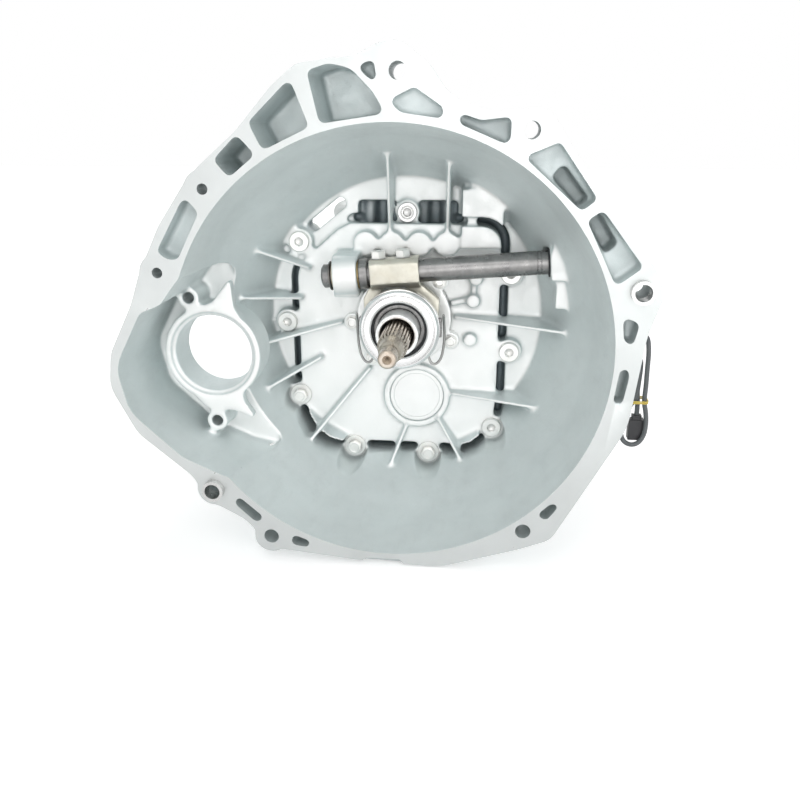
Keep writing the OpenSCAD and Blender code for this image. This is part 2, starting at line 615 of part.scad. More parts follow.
module countershaft_cap() color("silver") at(counter_at) rod(plate_y - 3, 8, cap_r);

module detent_plug() color("gray") at(detent_at) difference() {
    union() {
        rod(bell_depth - 5, 15, 6.9);
        rod(bell_depth - 8, 4, 9);
    }
    hex_rod(bell_depth - 9, 6, 7);
}

module dowels() color("gray") for (i = DOWEL_AT) at(polar(ENGINE_BOLTS[i]))
    ring(-6, dowel_in + 6, dowel_r, engine_bolt_r);

module drain_fill_plugs() color("dimgray") {
    translate([plate_left - 14, joint_y + 90, -35]) rotate([0, 90, 0]) difference() {
        union() {
            cylinder(h = 14, r = 8.9);
            translate([0, 0, -4]) cylinder(h = 6, r = 13);
        }
        translate([0, 0, -5]) cylinder(h = 9, r = 6, $fn = 6);
    }
    translate([-10, joint_y + 95, plate_low - 14]) difference() {
        union() {
            cylinder(h = 14, r = 8.9);
            translate([0, 0, -4]) cylinder(h = 6, r = 13);
        }
        translate([0, 0, -5]) cylinder(h = 9, r = 6, $fn = 6);
    }
}

module breather() color("gray") translate([-20, joint_y + 40, plate_top + 4]) {
    cylinder(h = 12, r = 3.95);
    translate([0, 0, 10]) cylinder(h = 6, r = 7);
    translate([0, 0, 16]) cylinder(h = 9, r = 9.5);
}

module speed_sensor() color("#303030") translate([0, sensor_y, 0]) rotate([0, 60, 0]) {
    translate([0, 0, sensor_seat - 28]) cylinder(h = 30, r = 7.9);
    translate([0, 0, sensor_seat]) cylinder(h = 5, r = 14);
    translate([0, 0, sensor_seat + 5]) cylinder(h = 16, r = 9);
    translate([-7, -9, sensor_seat + 10]) cube([26, 18, 11]);
}

// ---- Clutch release ------------------------------------------------------

module release_bearing() color("lightgray") difference() {
    lathe([[snout_r + 6, release_y + 1], [snout_r + 8, release_y], [release_r - 4, release_y],
        [release_r - 1, release_y + 2], [release_r, release_y + 5], [release_r, carrier_y - 0.5],
        [snout_r + 6, carrier_y - 0.5]]);
    ring(release_y - 1, 2, release_r - 5, release_r - 6);
}

module release_carrier() color("dimgray") difference() {
    union() {
        rod(release_y + 6, carrier_back - release_y - 6, snout_r + 5.6);
        rod(carrier_y, carrier_plate_t, carrier_r);
        for (s = [-1, 1]) translate([s > 0 ? 20 : -fork_x - 8, carrier_y, -9])
            cube([fork_x - 12, carrier_plate_t, 18]);
    }
    rod(release_y, 60, snout_r + run_fit);
}

module bearing_clips() color("gray") for (s = [-1, 1]) {
    wire([[s * 38.7, carrier_y - 2, 12], [s * 39, carrier_y + 3, 4], [s * 39, carrier_y + 8, -18],
        [s * 35, carrier_y + 9, -33], [s * 29, carrier_y + 8.5, -36], [s * 25, carrier_y + 8, -30],
        [s * 25, carrier_y + 7.6, -15]], 1.2);
}

module release_fork() color("tan") {
    difference() {
        union() {
            intersection() {
                on_cross() translate([hub_s[0], -hub_half, -hub_half])
                    cube([hub_s[1] - hub_s[0], 2 * hub_half, 2 * hub_half]);
                cross_rod(hub_s[0], hub_s[1], hub_corner_r);
            }
            for (s = [-1, 1]) {
                hull() {
                    translate([s * 14 - 11, cross_y - 5, cross_z - 13]) cube([10, 10, 6]);
                    translate([s * fork_x - 5, cross_y - 6, cross_z - 28]) cube([10, 9, 4]);
                }
                hull() {
                    translate([s * fork_x - 5, cross_y - 6, cross_z - 28]) cube([10, 9, 4]);
                    translate([s * fork_x - 4, carrier_y + carrier_plate_t + seat_gap + fork_tip_r, 0])
                        rotate([0, 90, 0]) cylinder(h = 8, r = fork_tip_r - 0.2, $fn = hull_fn);
                }
                translate([s * fork_x - 4, carrier_y + carrier_plate_t + seat_gap + fork_tip_r, 0])
                    rotate([0, 90, 0]) cylinder(h = 8, r = fork_tip_r);
            }
        }
        cross_rod(-100, 100, cross_r);
        for (s = [-20, 2]) on_cross() translate([s, 0, 0]) cylinder(h = 30, r = 4);
    }
}

module fork_bolts() color("tan") for (s = [-20, 2]) on_cross() translate([s, 0, cross_r]) {
    cylinder(h = 10, r = 4);
    translate([0, 0, hub_half - cross_r]) cylinder(h = 7, r = 7, $fn = 6);
}

module cross_shaft() color("#3a3a3c") difference() {
    union() {
        cross_rod(cross_from, cross_to, cross_r);
        cross_rod(bracket_s[1] + 1.1, hub_s[0] - 2, cross_r + 3);
    }
    on_cross() translate([cross_from + 7, 0, 0]) rotate([0, 90, 0]) difference() {
        cylinder(h = 1.6, r = cross_r + 1);
        cylinder(h = 1.6, r = cross_r - 1.5);
    }
}

module cross_bushings() color("goldenrod") {
    difference() {
        cross_rod(bracket_s[0] - 1, bracket_s[1] + 1, cross_r + bush_t);
        cross_rod(bracket_s[0] - 2, bracket_s[1] + 2, cross_r + run_fit);
    }
    difference() {
        cross_rod(wall_boss_s[0], wall_boss_s[1] - 6, cross_r + bush_t);
        cross_rod(wall_boss_s[0] - 1, wall_boss_s[1], cross_r + run_fit);
    }
}

module cross_seal() color("#202020") difference() {
    cross_rod(wall_boss_s[0] - 5, wall_boss_s[0], cross_r + bush_t - 0.1);
    cross_rod(wall_boss_s[0] - 6, wall_boss_s[0] + 1, cross_r + run_fit);
}

module cross_circlip() color("#303030") on_cross() translate([cross_from + 7.1, 0, 0])
    rotate([0, 90, 0]) difference() {
        cylinder(h = 1.4, r = cross_r + 2.5);
        translate([0, 0, -1]) cylinder(h = 4, r = cross_r - 1.5);
        translate([0, -3, -1]) cube([20, 6, 4]);
    }

lever_len = 88;
lever_turn = 205;
module clutch_lever() color("dimgray") on_cross() difference() {
    union() {
        translate([lever_s[0], 0, 0]) rotate([0, 90, 0]) cylinder(h = 12, r = cross_r + 7);
        rotate([lever_turn, 0, 0]) translate([lever_s[0] + 2, -9, 0]) cube([7, 18, lever_len]);
        rotate([lever_turn, 0, 0]) translate([lever_s[0] + 2, 0, lever_len]) rotate([0, 90, 0])
            cylinder(h = 7, r = 11);
        rotate([lever_turn, 0, 0]) translate([lever_s[0] + 0.5, -13, cross_r - 2]) cube([10, 26, 12]);
    }
    translate([lever_s[0] - 5, 0, 0]) rotate([0, 90, 0]) cylinder(h = 30, r = cross_r);
    rotate([lever_turn, 0, 0]) translate([lever_s[0] - 5, 0, lever_len]) rotate([0, 90, 0])
        cylinder(h = 30, r = 5);
    rotate([lever_turn, 0, 0]) translate([lever_s[0] + 5.5, -30, cross_r + 6]) rotate([-90, 0, 0])
        cylinder(h = 60, r = 3);
}

module lever_bolt() color("gray") on_cross() rotate([lever_turn, 0, 0])
    translate([lever_s[0] + 5.5, -13, cross_r + 6]) rotate([-90, 0, 0]) {
        cylinder(h = 30, r = 3);
        translate([0, 0, -4]) cylinder(h = 4, r = 5.5, $fn = 6);
        translate([0, 0, 26]) cylinder(h = 5, r = 5.5, $fn = 6);
    }

// ---- Gear train ----------------------------------------------------------

nose_r = 11;
module input_shaft() color("#8a7a68") difference() {
    union() {
        lathe([[0, -pilot_out], [pilot_r - 1.5, -pilot_out], [pilot_r, -pilot_out + 1.5],
            [pilot_r, 8], [spline_r - 3, 12], [spline_r - 1.6, 24], [spline_r - 1.6, 72], [spline_r, 74],
            [spline_r, bell_depth], [17.5, bell_depth], [17.5, drive_y - 5], [21, drive_y - 5],
            [21, drive_y], [22, drive_y], [22, drive_y + gear_w + 2],
            [dog_r, drive_y + gear_w + 2], [dog_r, drive_y + gear_w + 2 + dog_w],
            [0, drive_y + gear_w + 2 + dog_w]]);
        along_y(26, 46) polygon([for (i = [0:splines - 1]) each [for (q = [[-0.31, spline_r - 1.7],
            [-0.22, spline_r], [0.22, spline_r], [0.31, spline_r - 1.7]])
            q[1] * [cos((i + q[0]) * 360 / splines), sin((i + q[0]) * 360 / splines)]]]);
        gear(drive_y, gear_w + 2, drive_n, gap_at(drive_n, counter_dir));
    }
    rod(drive_y - 2, 60, nose_r);
    rotate([90, 0, 0]) translate([0, 0, pilot_out - 6]) cylinder(h = 7, r1 = 1, r2 = 4);
}

module input_bearing() color("silver") ball_bearing(bell_depth + 2, 21, input_bearing_r, 17.5 + run_fit, 9);

module input_seal() color("#202020") difference() {
    rod(bell_depth - 15, 6, spline_r + 10);
    rod(bell_depth - 16, 8, spline_r + run_fit);
}

shaft_seat = 17.5;
gear_1_y = hub_12 + hub_reach;
gear_2_y = hub_12 - hub_reach - gear_w;
gear_3_y = hub_34 + hub_reach;
gear_r_y = hub_5r - hub_reach - gear_w;
gear_5_y = hub_5r + hub_reach;
bearing_y = center_y - 24;
module main_shaft() color("#9a9a98") {
    lathe([[0, drive_y + 4], [nose_r - run_fit, drive_y + 4], [nose_r - run_fit, drive_y + 34],
        [main_r, drive_y + 34], [main_r, gear_3_y + gear_w + 1], [main_r + 4, gear_3_y + gear_w + 1],
        [main_r + 4, gear_2_y - 1], [main_r, gear_2_y - 1], [main_r, gear_1_y + gear_w + 1],
        [main_r + 4, gear_1_y + gear_w + 1], [main_r + 4, bearing_y - 1], [shaft_seat, bearing_y - 1],
        [shaft_seat, gear_5_y + gear_w + 1], [main_r + 4, gear_5_y + gear_w + 1],
        [main_r + 4, gear_5_y + gear_w + 8], [shaft_seat, gear_5_y + gear_w + 8],
        [shaft_seat, nut_y], [12, nut_y], [12, nut_y + nut_t], [0, nut_y + nut_t]]);
}

module countershaft() color("#a09a90") at(counter_at) {
    lathe([[0, bell_depth + 1], [12.5 - run_fit, bell_depth + 1], [12.5 - run_fit, joint_y - 2],
        [17, joint_y - 2], [17, bearing_y - 1], [15 - run_fit, bearing_y - 1],
        [15 - run_fit, gear_r_y], [16.5, gear_r_y], [16.5, gear_5_y + gear_w + 4],
        [12, gear_5_y + gear_w + 4], [12, gear_5_y + gear_w + 16], [0, gear_5_y + gear_w + 16]]);
    translate(-[counter_at.x, 0, counter_at.y]) {
        counter_gear(drive_y, teeth_sum - drive_n);
        counter_gear(gear_3_y, teeth_sum - third_n);
        counter_gear(gear_2_y, teeth_sum - second_n);
        counter_gear(gear_1_y, teeth_sum - first_n);
        counter_gear(gear_5_y, teeth_sum - fifth_n);
        at(counter_at) gear(gear_r_y, gear_w, counter_reverse_n,
            gap_at(counter_reverse_n, idler_dir));
    }
}

module counter_front_bearing() color("silver") at(counter_at)
    ball_bearing(bell_depth + 1, 17, counter_bearing_r, 12.5, 8);
module counter_rear_bearing() color("silver") at(counter_at)
    ball_bearing(bearing_y, 16, counter_bearing_r, 15, 9);
module center_bearing() color("silver")
    ball_bearing(bearing_y, 17, main_bearing_r, shaft_seat + run_fit, 9);
module tail_bearing() color("silver")
    ball_bearing(tail_y - 42, 17, main_bearing_r, shaft_seat + run_fit, 9);

// Free gear on the main shaft, with its dog ring toward its synchroniser hub
module free_gear(y, n, mid, side, bore) difference() {
    union() {
        gear(y, gear_w, n, mid);
        rod(side > 0 ? y + gear_w - eps : y - dog_w, dog_w + eps, dog_r);
    }
    rod(y - 20, gear_w + 40, bore + run_fit);
}

module gear_third() color("#8f8f92") free_gear(gear_3_y, third_n, gap_at(third_n, counter_dir), -1, main_r);
module gear_second() color("#8f8f92") free_gear(gear_2_y, second_n, gap_at(second_n, counter_dir), 1, main_r);
module gear_first() color("#8f8f92") free_gear(gear_1_y, first_n, gap_at(first_n, counter_dir), -1, main_r);
module gear_fifth() color("#8f8f92") free_gear(gear_5_y, fifth_n, gap_at(fifth_n, counter_dir), -1, shaft_seat);

// Reverse runs through the idler, so its phase follows the idler's teeth
idler_dir = atan2(idler_at.y - counter_at.y, idler_at.x - counter_at.x);
idler_mid = idler_dir + 180;
main_dir = atan2(-idler_at.y, -idler_at.x);
reverse_mid = gap_at(reverse_n, main_dir + 180 - (idler_mid - main_dir) * idler_n / reverse_n);
module gear_reverse() color("#8f8f92") free_gear(gear_r_y, reverse_n, reverse_mid, 1, shaft_seat);
module reverse_idler() color("#8f8f92") at(idler_at) difference() {
    gear(gear_r_y, gear_w, idler_n, idler_mid);
    rod(gear_r_y - 1, gear_w + 2, idler_pin_r + run_fit);
}
module idler_pin() color("gray") at(idler_at) rod(center_y, gear_r_y + gear_w + 12 - center_y, idler_pin_r);

module synchro_hubs() color("#b09a60") for (q = [[hub_34, main_r], [hub_12, main_r], [hub_5r, shaft_seat]])
    ring(q[0] - hub_w / 2, hub_w, dog_r + 0.3, q[1]);

module sleeve(y) difference() {
    ring(y - sleeve_w / 2, sleeve_w, sleeve_out_r, sleeve_in_r);
    ring(y - groove_w / 2, groove_w, sleeve_out_r + 5, groove_r);
}
module sleeve_1_2() color("#77787c") sleeve(hub_12);
module sleeve_3_4() color("#77787c") sleeve(hub_34);
module sleeve_5_r() color("#77787c") sleeve(hub_5r);

// Shift rail with the fork that it carries
fork_w = groove_w - 2 * seat_gap;
module rail(i, from, to, hub) {
    at([rail_x[i], rail_z]) rod(from, to - from, rail_r);
    intersection() {
        ring(hub - fork_w / 2, fork_w, groove_r + 11, groove_r + seat_gap);
        translate([-60, hub - 20, -8]) cube([120, 40, 80]);
    }
    at([rail_x[i], rail_z]) ring(hub - 10, 20, rail_r + 3.5, rail_r - eps);
    rotate([0, -atan2(rail_z, rail_x[i]), 0]) translate([groove_r + 8, hub - fork_w / 2, -6])
        cube([norm([rail_x[i], rail_z]) - groove_r - rail_r - 10, fork_w, 12]);
}
rail_front = bell_depth - 3;
module rail_1_2() color("#a8a8a4") rail(0, rail_front, center_y - 8, hub_12);
module rail_3_4() color("#a8a8a4") rail(1, rail_front, center_y - 8, hub_34);
module rail_5_r() color("#a8a8a4") rail(2, rail_front, hub_5r + 20, hub_5r);
module selector_rail() color("#a8a8a4") at([rail_x[3], rail_z]) {
    rod(rail_front, tower_y + 16 - rail_front, rail_r);
    difference() {
        union() {
            rod(tower_y - 12, 24, rail_r + 3.5);
            translate([-8, tower_y - 12, 0]) cube([16, 24, 20]);
        }
        translate([-20, tower_y - 6.5, rail_r + 1]) cube([40, 13, 20]);
    }
}

// ---- Shift tower and output ----------------------------------------------

ball_z = tower_z + 20;
ball_r = 12;
module shift_tower() color("silver") translate([tower_at.x, tower_at.y, 0]) difference() {
    union() {
        translate([-tower_half, -tower_half, tower_z]) cube([2 * tower_half, 2 * tower_half, cap_t]);
        translate([0, 0, tower_z]) cylinder(h = 34, r = 27);
    }
    translate([0, 0, tower_z - 1]) cylinder(h = 40, r = 21);
    for (s = [-1, 1]) translate([0, s * 30, ball_z]) rotate([s * 90, 0, 0])
        translate([0, 0, -12]) cylinder(h = 26, r = 3 + run_fit);
    for (x = [-1, 1], y = [-1, 1]) translate([x * 26, y * 26, tower_z - 1]) cylinder(h = 30, r = 3.25);
}
module tower_bolts() color("dimgray") for (x = [-1, 1], y = [-1, 1])
    translate([tower_at.x + x * 26, tower_at.y + y * 26, tower_z - 14]) {
        cylinder(h = 14 + cap_t, r = 3);
        translate([0, 0, 14 + cap_t]) cylinder(h = 5, r = 5.6, $fn = 6);
    }
module gimbal_ring() color("gray") translate([tower_at.x, tower_at.y, ball_z]) difference() {
    union() {
        translate([0, 0, -5]) cylinder(h = 10, r = 19);
        for (s = [-1, 1]) rotate([s * 90, 0, 0]) translate([0, 0, -24]) cylinder(h = 8, r = 3);
    }
    translate([0, 0, -6]) cylinder(h = 12, r = 14.5);
    rotate([0, 90, 0]) translate([0, 0, -30]) cylinder(h = 60, r = 2.5 + run_fit);
}
module shift_lever() color("#505050") translate([tower_at.x, tower_at.y, ball_z]) {
    sphere(r = ball_r);
    translate([0, 0, 8]) cylinder(h = 48, r = 6);
    translate([0, 0, 52]) cylinder(h = 16, r = 8);
    translate([0, 0, -44]) cylinder(h = 36, r = 5);
    rotate([0, 90, 0]) translate([0, 0, -18]) cylinder(h = 36, r = 2.5);
}
// The nut sits in a recess, so that the joint's face is clear
nut_y = tail_y + 10;
nut_t = 11;
module output_seal() color("#202020") difference() {
    rod(tail_y - 10, 10, main_r + 6);
    rod(tail_y - 11, 12, shaft_seat + run_fit);
}
module output_flange() color("#6a6a6c") difference() {
    union() {
        rod(tail_y + 2, 20, 28);
        rod(tail_y + 12, 10, out_flange_r);
    }
    rod(tail_y, 30, shaft_seat);
    rod(nut_y, 30, 22);
    for (i = [0:3]) rotate([0, 45 + i * 90, 0]) translate([out_bolt_circle, 0, 0])
        rod(tail_y, 40, out_bolt_r);
}
module output_nut() color("gray") difference() {
    union() {
        rod(nut_y, 2, 19);
        hex_rod(nut_y + 2, nut_t - 2, 32);
    }
    rod(nut_y - 1, 30, 12);
}

// ---- Reverse lamp switch and its lead ------------------------------------

module reverse_switch() color("#8a8a88") translate([plate_right, joint_y + 65, -50]) rotate([0, 90, 0]) {
    cylinder(h = 12, r = 7.9);
    translate([0, 0, 12]) cylinder(h = 8, r = 12.5, $fn = 6);
    translate([0, 0, 20]) cylinder(h = 12, r = 8);
    translate([0, 0, 32]) cylinder(h = 6, r = 5);
}

lead_r = 2;
lead_from = [plate_right + 38, joint_y + 65, -50];
LEAD_ROUTE = [lead_from, lead_from + [8, 0, 0], lead_from + [18, -5, -2], lead_from + [29, -18, -6],
    [170, 205, -61], [182, 180, -64], [191, 155, -64], [197, 130, -58], [201, 108, -46], [203, 90, -30],
    [204, 77, -12], [205, 68, 0], [207, 61, 6], [209, 56, 4], [210, 53, -6], [210, 52, -20],
    [210, 51, -34], [210, 51, -48], [212, 51, -58], [213, 51, -68], [212, 51, -78], [208, 51, -85],
    [202, 51, -87], [196, 51, -84], [193, 51, -77], [193, 51, -68], [195, 51.5, -58], [202, 53, -48],
    [204, 54, -40], [204.5, 54, -32], [205, 54.5, -24], [205.5, 57, -18], [206, 62, -15.5], [206, 67, -18],
    [206, 70, -24], [206, 69, -32], [206, 64.5, -41], [206, 60, -49], [206, 58, -56], [206, 58, -62]];
LEAD = [for (p = LEAD_ROUTE) p + [rim_shift * min(1, max(0, (205 - p.y) / 50)), 0, 0]];
function lead_dir(i) = let (a = LEAD[max(i - 1, 0)], b = LEAD[min(i + 1, len(LEAD) - 1)])
    (b - a) / norm(b - a);
function lead_side(i) = let (s = cross(lead_dir(i), [0.35, 0.2, 0.9])) s / norm(s);
lead_sides = 8;
module reverse_lead() color("#202224") polyhedron(
    points = [for (i = [0:len(LEAD) - 1], k = [0:lead_sides - 1])
        LEAD[i] + lead_r * (cos(360 * k / lead_sides) * lead_side(i)
            + sin(360 * k / lead_sides) * cross(lead_dir(i), lead_side(i)))],
    faces = concat([[for (k = [0:lead_sides - 1]) k]],
        [for (i = [0:len(LEAD) - 2], k = [0:lead_sides - 1]) let (n = (k + 1) % lead_sides, r = i * lead_sides)
            [r + k, r + lead_sides + k, r + lead_sides + n, r + n]],
        [[for (k = [lead_sides - 1:-1:0]) (len(LEAD) - 1) * lead_sides + k]]));
module lead_plug() color("#18181a") translate([206 + rim_shift, 58, -84]) {
    translate([-6.5, -4.5, 0]) cube([13, 9, 18]);
    translate([-4, -3, 18]) cube([8, 6, 4]);
}
module lead_tie() color("gold") translate([rim_shift, 0, 0]) difference() {
    translate([198, 47.4, -50]) cube([15.8, 17, 3]);
    translate([199.2, 48.6, -51]) cube([13.4, 14.6, 5]);
}

bell_housing();
main_case();
extension_housing();
bearing_retainer();
retainer_bolts();
housing_bolts();
housing_screws();
countershaft_cap();
detent_plug();
dowels();
release_bearing();
release_carrier();
bearing_clips();
release_fork();
fork_bolts();
cross_shaft();
cross_bushings();
cross_seal();
cross_circlip();
clutch_lever();
lever_bolt();
input_shaft();
input_bearing();
input_seal();
main_shaft();
countershaft();
counter_front_bearing();
counter_rear_bearing();
center_bearing();
tail_bearing();
gear_first();
gear_second();
gear_third();
gear_fifth();
gear_reverse();
reverse_idler();
idler_pin();
synchro_hubs();
sleeve_1_2();
sleeve_3_4();
sleeve_5_r();
rail_1_2();
rail_3_4();
rail_5_r();
selector_rail();
extension_bolts();
shift_tower();
tower_bolts();
gimbal_ring();
shift_lever();
output_seal();
output_flange();
output_nut();
drain_fill_plugs();
breather();
speed_sensor();
reverse_switch();
reverse_lead();
lead_plug();
lead_tie();
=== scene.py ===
"""Looks of a five-speed manual transmission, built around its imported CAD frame."""

import json
import math

import bmesh
import bpy
import numpy as np
import openvdb
from mathutils import Matrix, Vector


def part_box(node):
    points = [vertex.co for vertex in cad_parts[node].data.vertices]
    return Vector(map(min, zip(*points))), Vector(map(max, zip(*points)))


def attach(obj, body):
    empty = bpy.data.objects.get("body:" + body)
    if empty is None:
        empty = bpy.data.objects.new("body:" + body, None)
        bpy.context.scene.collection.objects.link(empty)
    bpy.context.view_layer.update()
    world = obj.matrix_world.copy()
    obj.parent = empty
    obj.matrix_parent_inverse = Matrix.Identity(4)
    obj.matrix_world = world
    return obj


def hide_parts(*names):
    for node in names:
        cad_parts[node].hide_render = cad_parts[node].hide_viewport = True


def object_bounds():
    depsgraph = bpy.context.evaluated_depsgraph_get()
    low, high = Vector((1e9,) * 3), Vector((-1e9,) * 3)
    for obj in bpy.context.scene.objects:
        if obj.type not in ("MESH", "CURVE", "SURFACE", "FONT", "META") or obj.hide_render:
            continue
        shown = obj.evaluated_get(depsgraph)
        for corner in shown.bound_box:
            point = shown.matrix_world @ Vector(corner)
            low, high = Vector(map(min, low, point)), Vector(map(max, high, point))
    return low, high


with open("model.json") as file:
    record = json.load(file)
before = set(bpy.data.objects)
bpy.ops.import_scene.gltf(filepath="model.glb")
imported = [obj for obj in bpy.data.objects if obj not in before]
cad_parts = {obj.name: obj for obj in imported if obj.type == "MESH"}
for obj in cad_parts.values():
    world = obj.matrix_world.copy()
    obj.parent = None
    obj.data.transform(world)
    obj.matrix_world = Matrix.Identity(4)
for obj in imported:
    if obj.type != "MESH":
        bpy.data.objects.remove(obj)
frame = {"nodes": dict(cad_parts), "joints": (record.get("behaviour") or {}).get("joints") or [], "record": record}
CAD_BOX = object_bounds()
NODES = frame["nodes"]
MM = 0.001
ON_AXIS = 1e-6                                              # a lathe point nearer than this is on the axis


# ---- Places, in millimetres, read from the frame ---------------------------

def box(node):
    """Lowest and highest corner of a CAD node, in millimetres."""
    low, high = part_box(node)
    return low / MM, high / MM


BODY = {node: body for body, members in frame["record"]["behaviour"]["bodies"].items()
        for node in members}
SLOT = {part["node"]: part["material_slot"] for part in frame["record"]["subparts"]}
JOINT = {joint["name"]: joint for joint in frame["joints"]}
CROSS_AT = Vector(JOINT["release_pivot"]["pos_m"]) / MM
CROSS_AXIS = -Vector(JOINT["release_pivot"]["axis"])
CROSS_TILT = math.atan2(CROSS_AXIS.z, CROSS_AXIS.x)
BELL_BACK = box("bell_housing")[1].y
STARTER_FACE = BELL_BACK - 113                              # front of the starter's lug
SEAT_FACE = box("bearing_retainer")[1].y - 12               # machined seat behind the bearing retainer
FACED_PLANES = (SEAT_FACE, STARTER_FACE)
PLATE_Y = BELL_BACK - 35                                    # front of the bulkhead's raised plate
# Painted highlight tone for surfaces deep in the bell that face the engine, also used on its machined faces, and
# the painted shade tone of the moat round the plate.
LIT_AND_FACED_TONE, MOAT_SHADE_TONE = (0.93, 0.935, 0.925), (0.20, 0.235, 0.25)
ALONG_Y = Matrix.Rotation(math.radians(-90), 4, "X")        # a local +Z becomes +Y
ON_CROSS = (Matrix.Translation(CROSS_AT) @ Matrix.Rotation(-CROSS_TILT, 4, "Y")
            @ Matrix.Rotation(math.radians(90), 4, "Y"))    # local +Z runs along the cross shaft


# ---- Mesh helpers ------------------------------------------------------------

def new_object(name, vertices, faces, matrix=None):
    """Mesh object from vertices in millimetres."""
    mesh = bpy.data.meshes.new(name)
    points = np.asarray(vertices, float).reshape(-1, 3)
    if matrix is not None:
        points = points @ np.array(matrix.to_3x3()).T + np.array(matrix.translation)
    mesh.from_pydata((points * MM).tolist(), [], faces)
    mesh.update()
    obj = bpy.data.objects.new(name, mesh)
    bpy.context.scene.collection.objects.link(obj)
    return obj


def select(*objects):
    """Selects only these objects, the first one active."""
    bpy.ops.object.select_all(action="DESELECT")
    for obj in objects:
        obj.select_set(True)
    bpy.context.view_layer.objects.active = objects[0]


def join(name, objects):
    """One object from several."""
    select(*objects)
    if len(objects) > 1:
        bpy.ops.object.join()
    objects[0].name = objects[0].data.name = name
    return objects[0]


def apply_modifiers(obj):
    select(obj)
    for modifier in list(obj.modifiers):
        bpy.ops.object.modifier_apply(modifier=modifier.name)


def outward(obj):
    """Makes the normals point out."""
    edit = bmesh.new()
    edit.from_mesh(obj.data)
    bmesh.ops.recalc_face_normals(edit, faces=edit.faces)
    edit.to_mesh(obj.data)
    edit.free()


def finish_piece(obj, nodes, materials, body=None, angle=32):
    """Shades a piece, gives it its materials and puts it in place of its CAD nodes."""
    select(obj)
    bpy.ops.object.shade_smooth_by_angle(angle=math.radians(angle))
    obj.data.materials.clear()
    for material in materials:
        obj.data.materials.append(material)
    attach(obj, body or BODY[nodes[0]])
    if nodes:
        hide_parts(*nodes)


def skin(rows, count):
    """Faces around rows of count points each, with a cap at either end."""
    faces = []
    for i in range(rows - 1):
        for k in range(count):
            n = (k + 1) % count
            faces.append([i * count + k, i * count + n, (i + 1) * count + n, (i + 1) * count + k])
    faces.append(list(range(count))[::-1])
    faces.append(list(range((rows - 1) * count, rows * count)))
    return faces


def lathe(name, profile, matrix, segments):
    """Solid of revolution from a closed profile of (radius, height) points."""
    turns = [2 * math.pi * i / segments for i in range(segments)]
    vertices, faces, rings = [], [], []
    for radius, height in profile:
        if radius < ON_AXIS:
            rings.append([len(vertices)] * segments)
            vertices.append((0, 0, height))
        else:
            rings.append(list(range(len(vertices), len(vertices) + segments)))
            vertices += [(radius * math.cos(t), radius * math.sin(t), height) for t in turns]
    for i, low in enumerate(rings):
        high = rings[(i + 1) % len(rings)]
        if low[0] == low[1] and high[0] == high[1]:
            continue
        for k in range(segments):
            n = (k + 1) % segments
            corners = dict.fromkeys([low[k], low[n], high[n], high[k]])
            faces.append(list(corners))
    obj = new_object(name, vertices, faces, matrix)
    outward(obj)
    return obj


def rounded_profile(points, radius, steps=2):
    """Rounds the corners of a closed (radius, height) profile."""
    out = []
    count = len(points)
    for i, point in enumerate(points):
        before, after = Vector(points[i - 1]), Vector(points[(i + 1) % count])
        here = Vector(point)
        reach = min(radius, (before - here).length * 0.45, (after - here).length * 0.45)
        start = here + (before - here).normalized() * reach
        end = here + (after - here).normalized() * reach
        for step in range(steps + 1):
            t = step / steps
            out.append(tuple(start * (1 - t) ** 2 + here * 2 * t * (1 - t) + end * t ** 2))
    return out


def curve_through(points, steps=5):
    """Smooth run of points through the given ones (Catmull-Rom)."""
    points = [Vector(p) for p in points]
    ends = [2 * points[0] - points[1]] + points + [2 * points[-1] - points[-2]]
    out = []
    for a, b, c, d in zip(ends, ends[1:], ends[2:], ends[3:]):
        for step in range(steps):
            t = step / steps
            out.append(0.5 * (2 * b + (c - a) * t + (2 * a - 5 * b + 4 * c - d) * t ** 2
                              + (3 * b - a - 3 * c + d) * t ** 3))
    return out + [points[-1]]


DOME = [(0.98, 0.2), (0.8, 0.6), (0.45, 0.9)]               # width and reach of end rings, in radii


def tube(name, path, radius, sides):
    """Round tube with domed ends along a path."""
    path = [Vector(p) for p in path]
    tangents = [(path[min(i + 1, len(path) - 1)] - path[max(i - 1, 0)]).normalized()
                for i in range(len(path))]
    side = tangents[0].orthogonal().normalized()
    first, last = (path[0], tangents[0]), (path[-1], tangents[-1])
    stations = ([(first[0] - first[1] * radius * out, first[1], radius * wide)
                 for wide, out in reversed(DOME)]
                + [(place, tangent, radius) for place, tangent in zip(path, tangents)]
                + [(last[0] + last[1] * radius * out, last[1], radius * wide) for wide, out in DOME])
    vertices = []
    for place, tangent, width in stations:
        side = (side - tangent * side.dot(tangent)).normalized()
        across = tangent.cross(side)
        for k in range(sides):
            turn = 2 * math.pi * k / sides
            vertices.append(tuple(place + (side * math.cos(turn) + across * math.sin(turn)) * width))
    obj = new_object(name, vertices, skin(len(stations), sides))
    outward(obj)
    return obj


# ---- Castings: surfaces with rounded inner and outer corners ---------------------

def surface(obj):
    """Points in millimetres, triangles and quads of an object's mesh."""
    mesh = obj.data
    points = np.empty(len(mesh.vertices) * 3, np.float32)
    mesh.vertices.foreach_get("co", points)
    mesh.calc_loop_triangles()
    triangles = np.empty(len(mesh.loop_triangles) * 3, np.int32)
    mesh.loop_triangles.foreach_get("vertices", triangles)
    return points.reshape(-1, 3) / MM, triangles.reshape(-1, 3), np.empty((0, 4), np.int32)


def offset(faces, distance, voxel, adaptivity=0.0):
    """The surface that lies a distance outside the given one."""
    points, triangles, quads = faces
    grid = openvdb.FloatGrid.createLevelSetFromPolygons(
        points.astype(np.float32),
        triangles=triangles.astype(np.uint32) if len(triangles) else None,
        quads=quads.astype(np.uint32) if len(quads) else None,
        transform=openvdb.createLinearTransform(voxelSize=voxel),
        halfWidth=abs(distance) / voxel + 3)
    return grid.convertToPolygons(isovalue=distance, adaptivity=adaptivity)


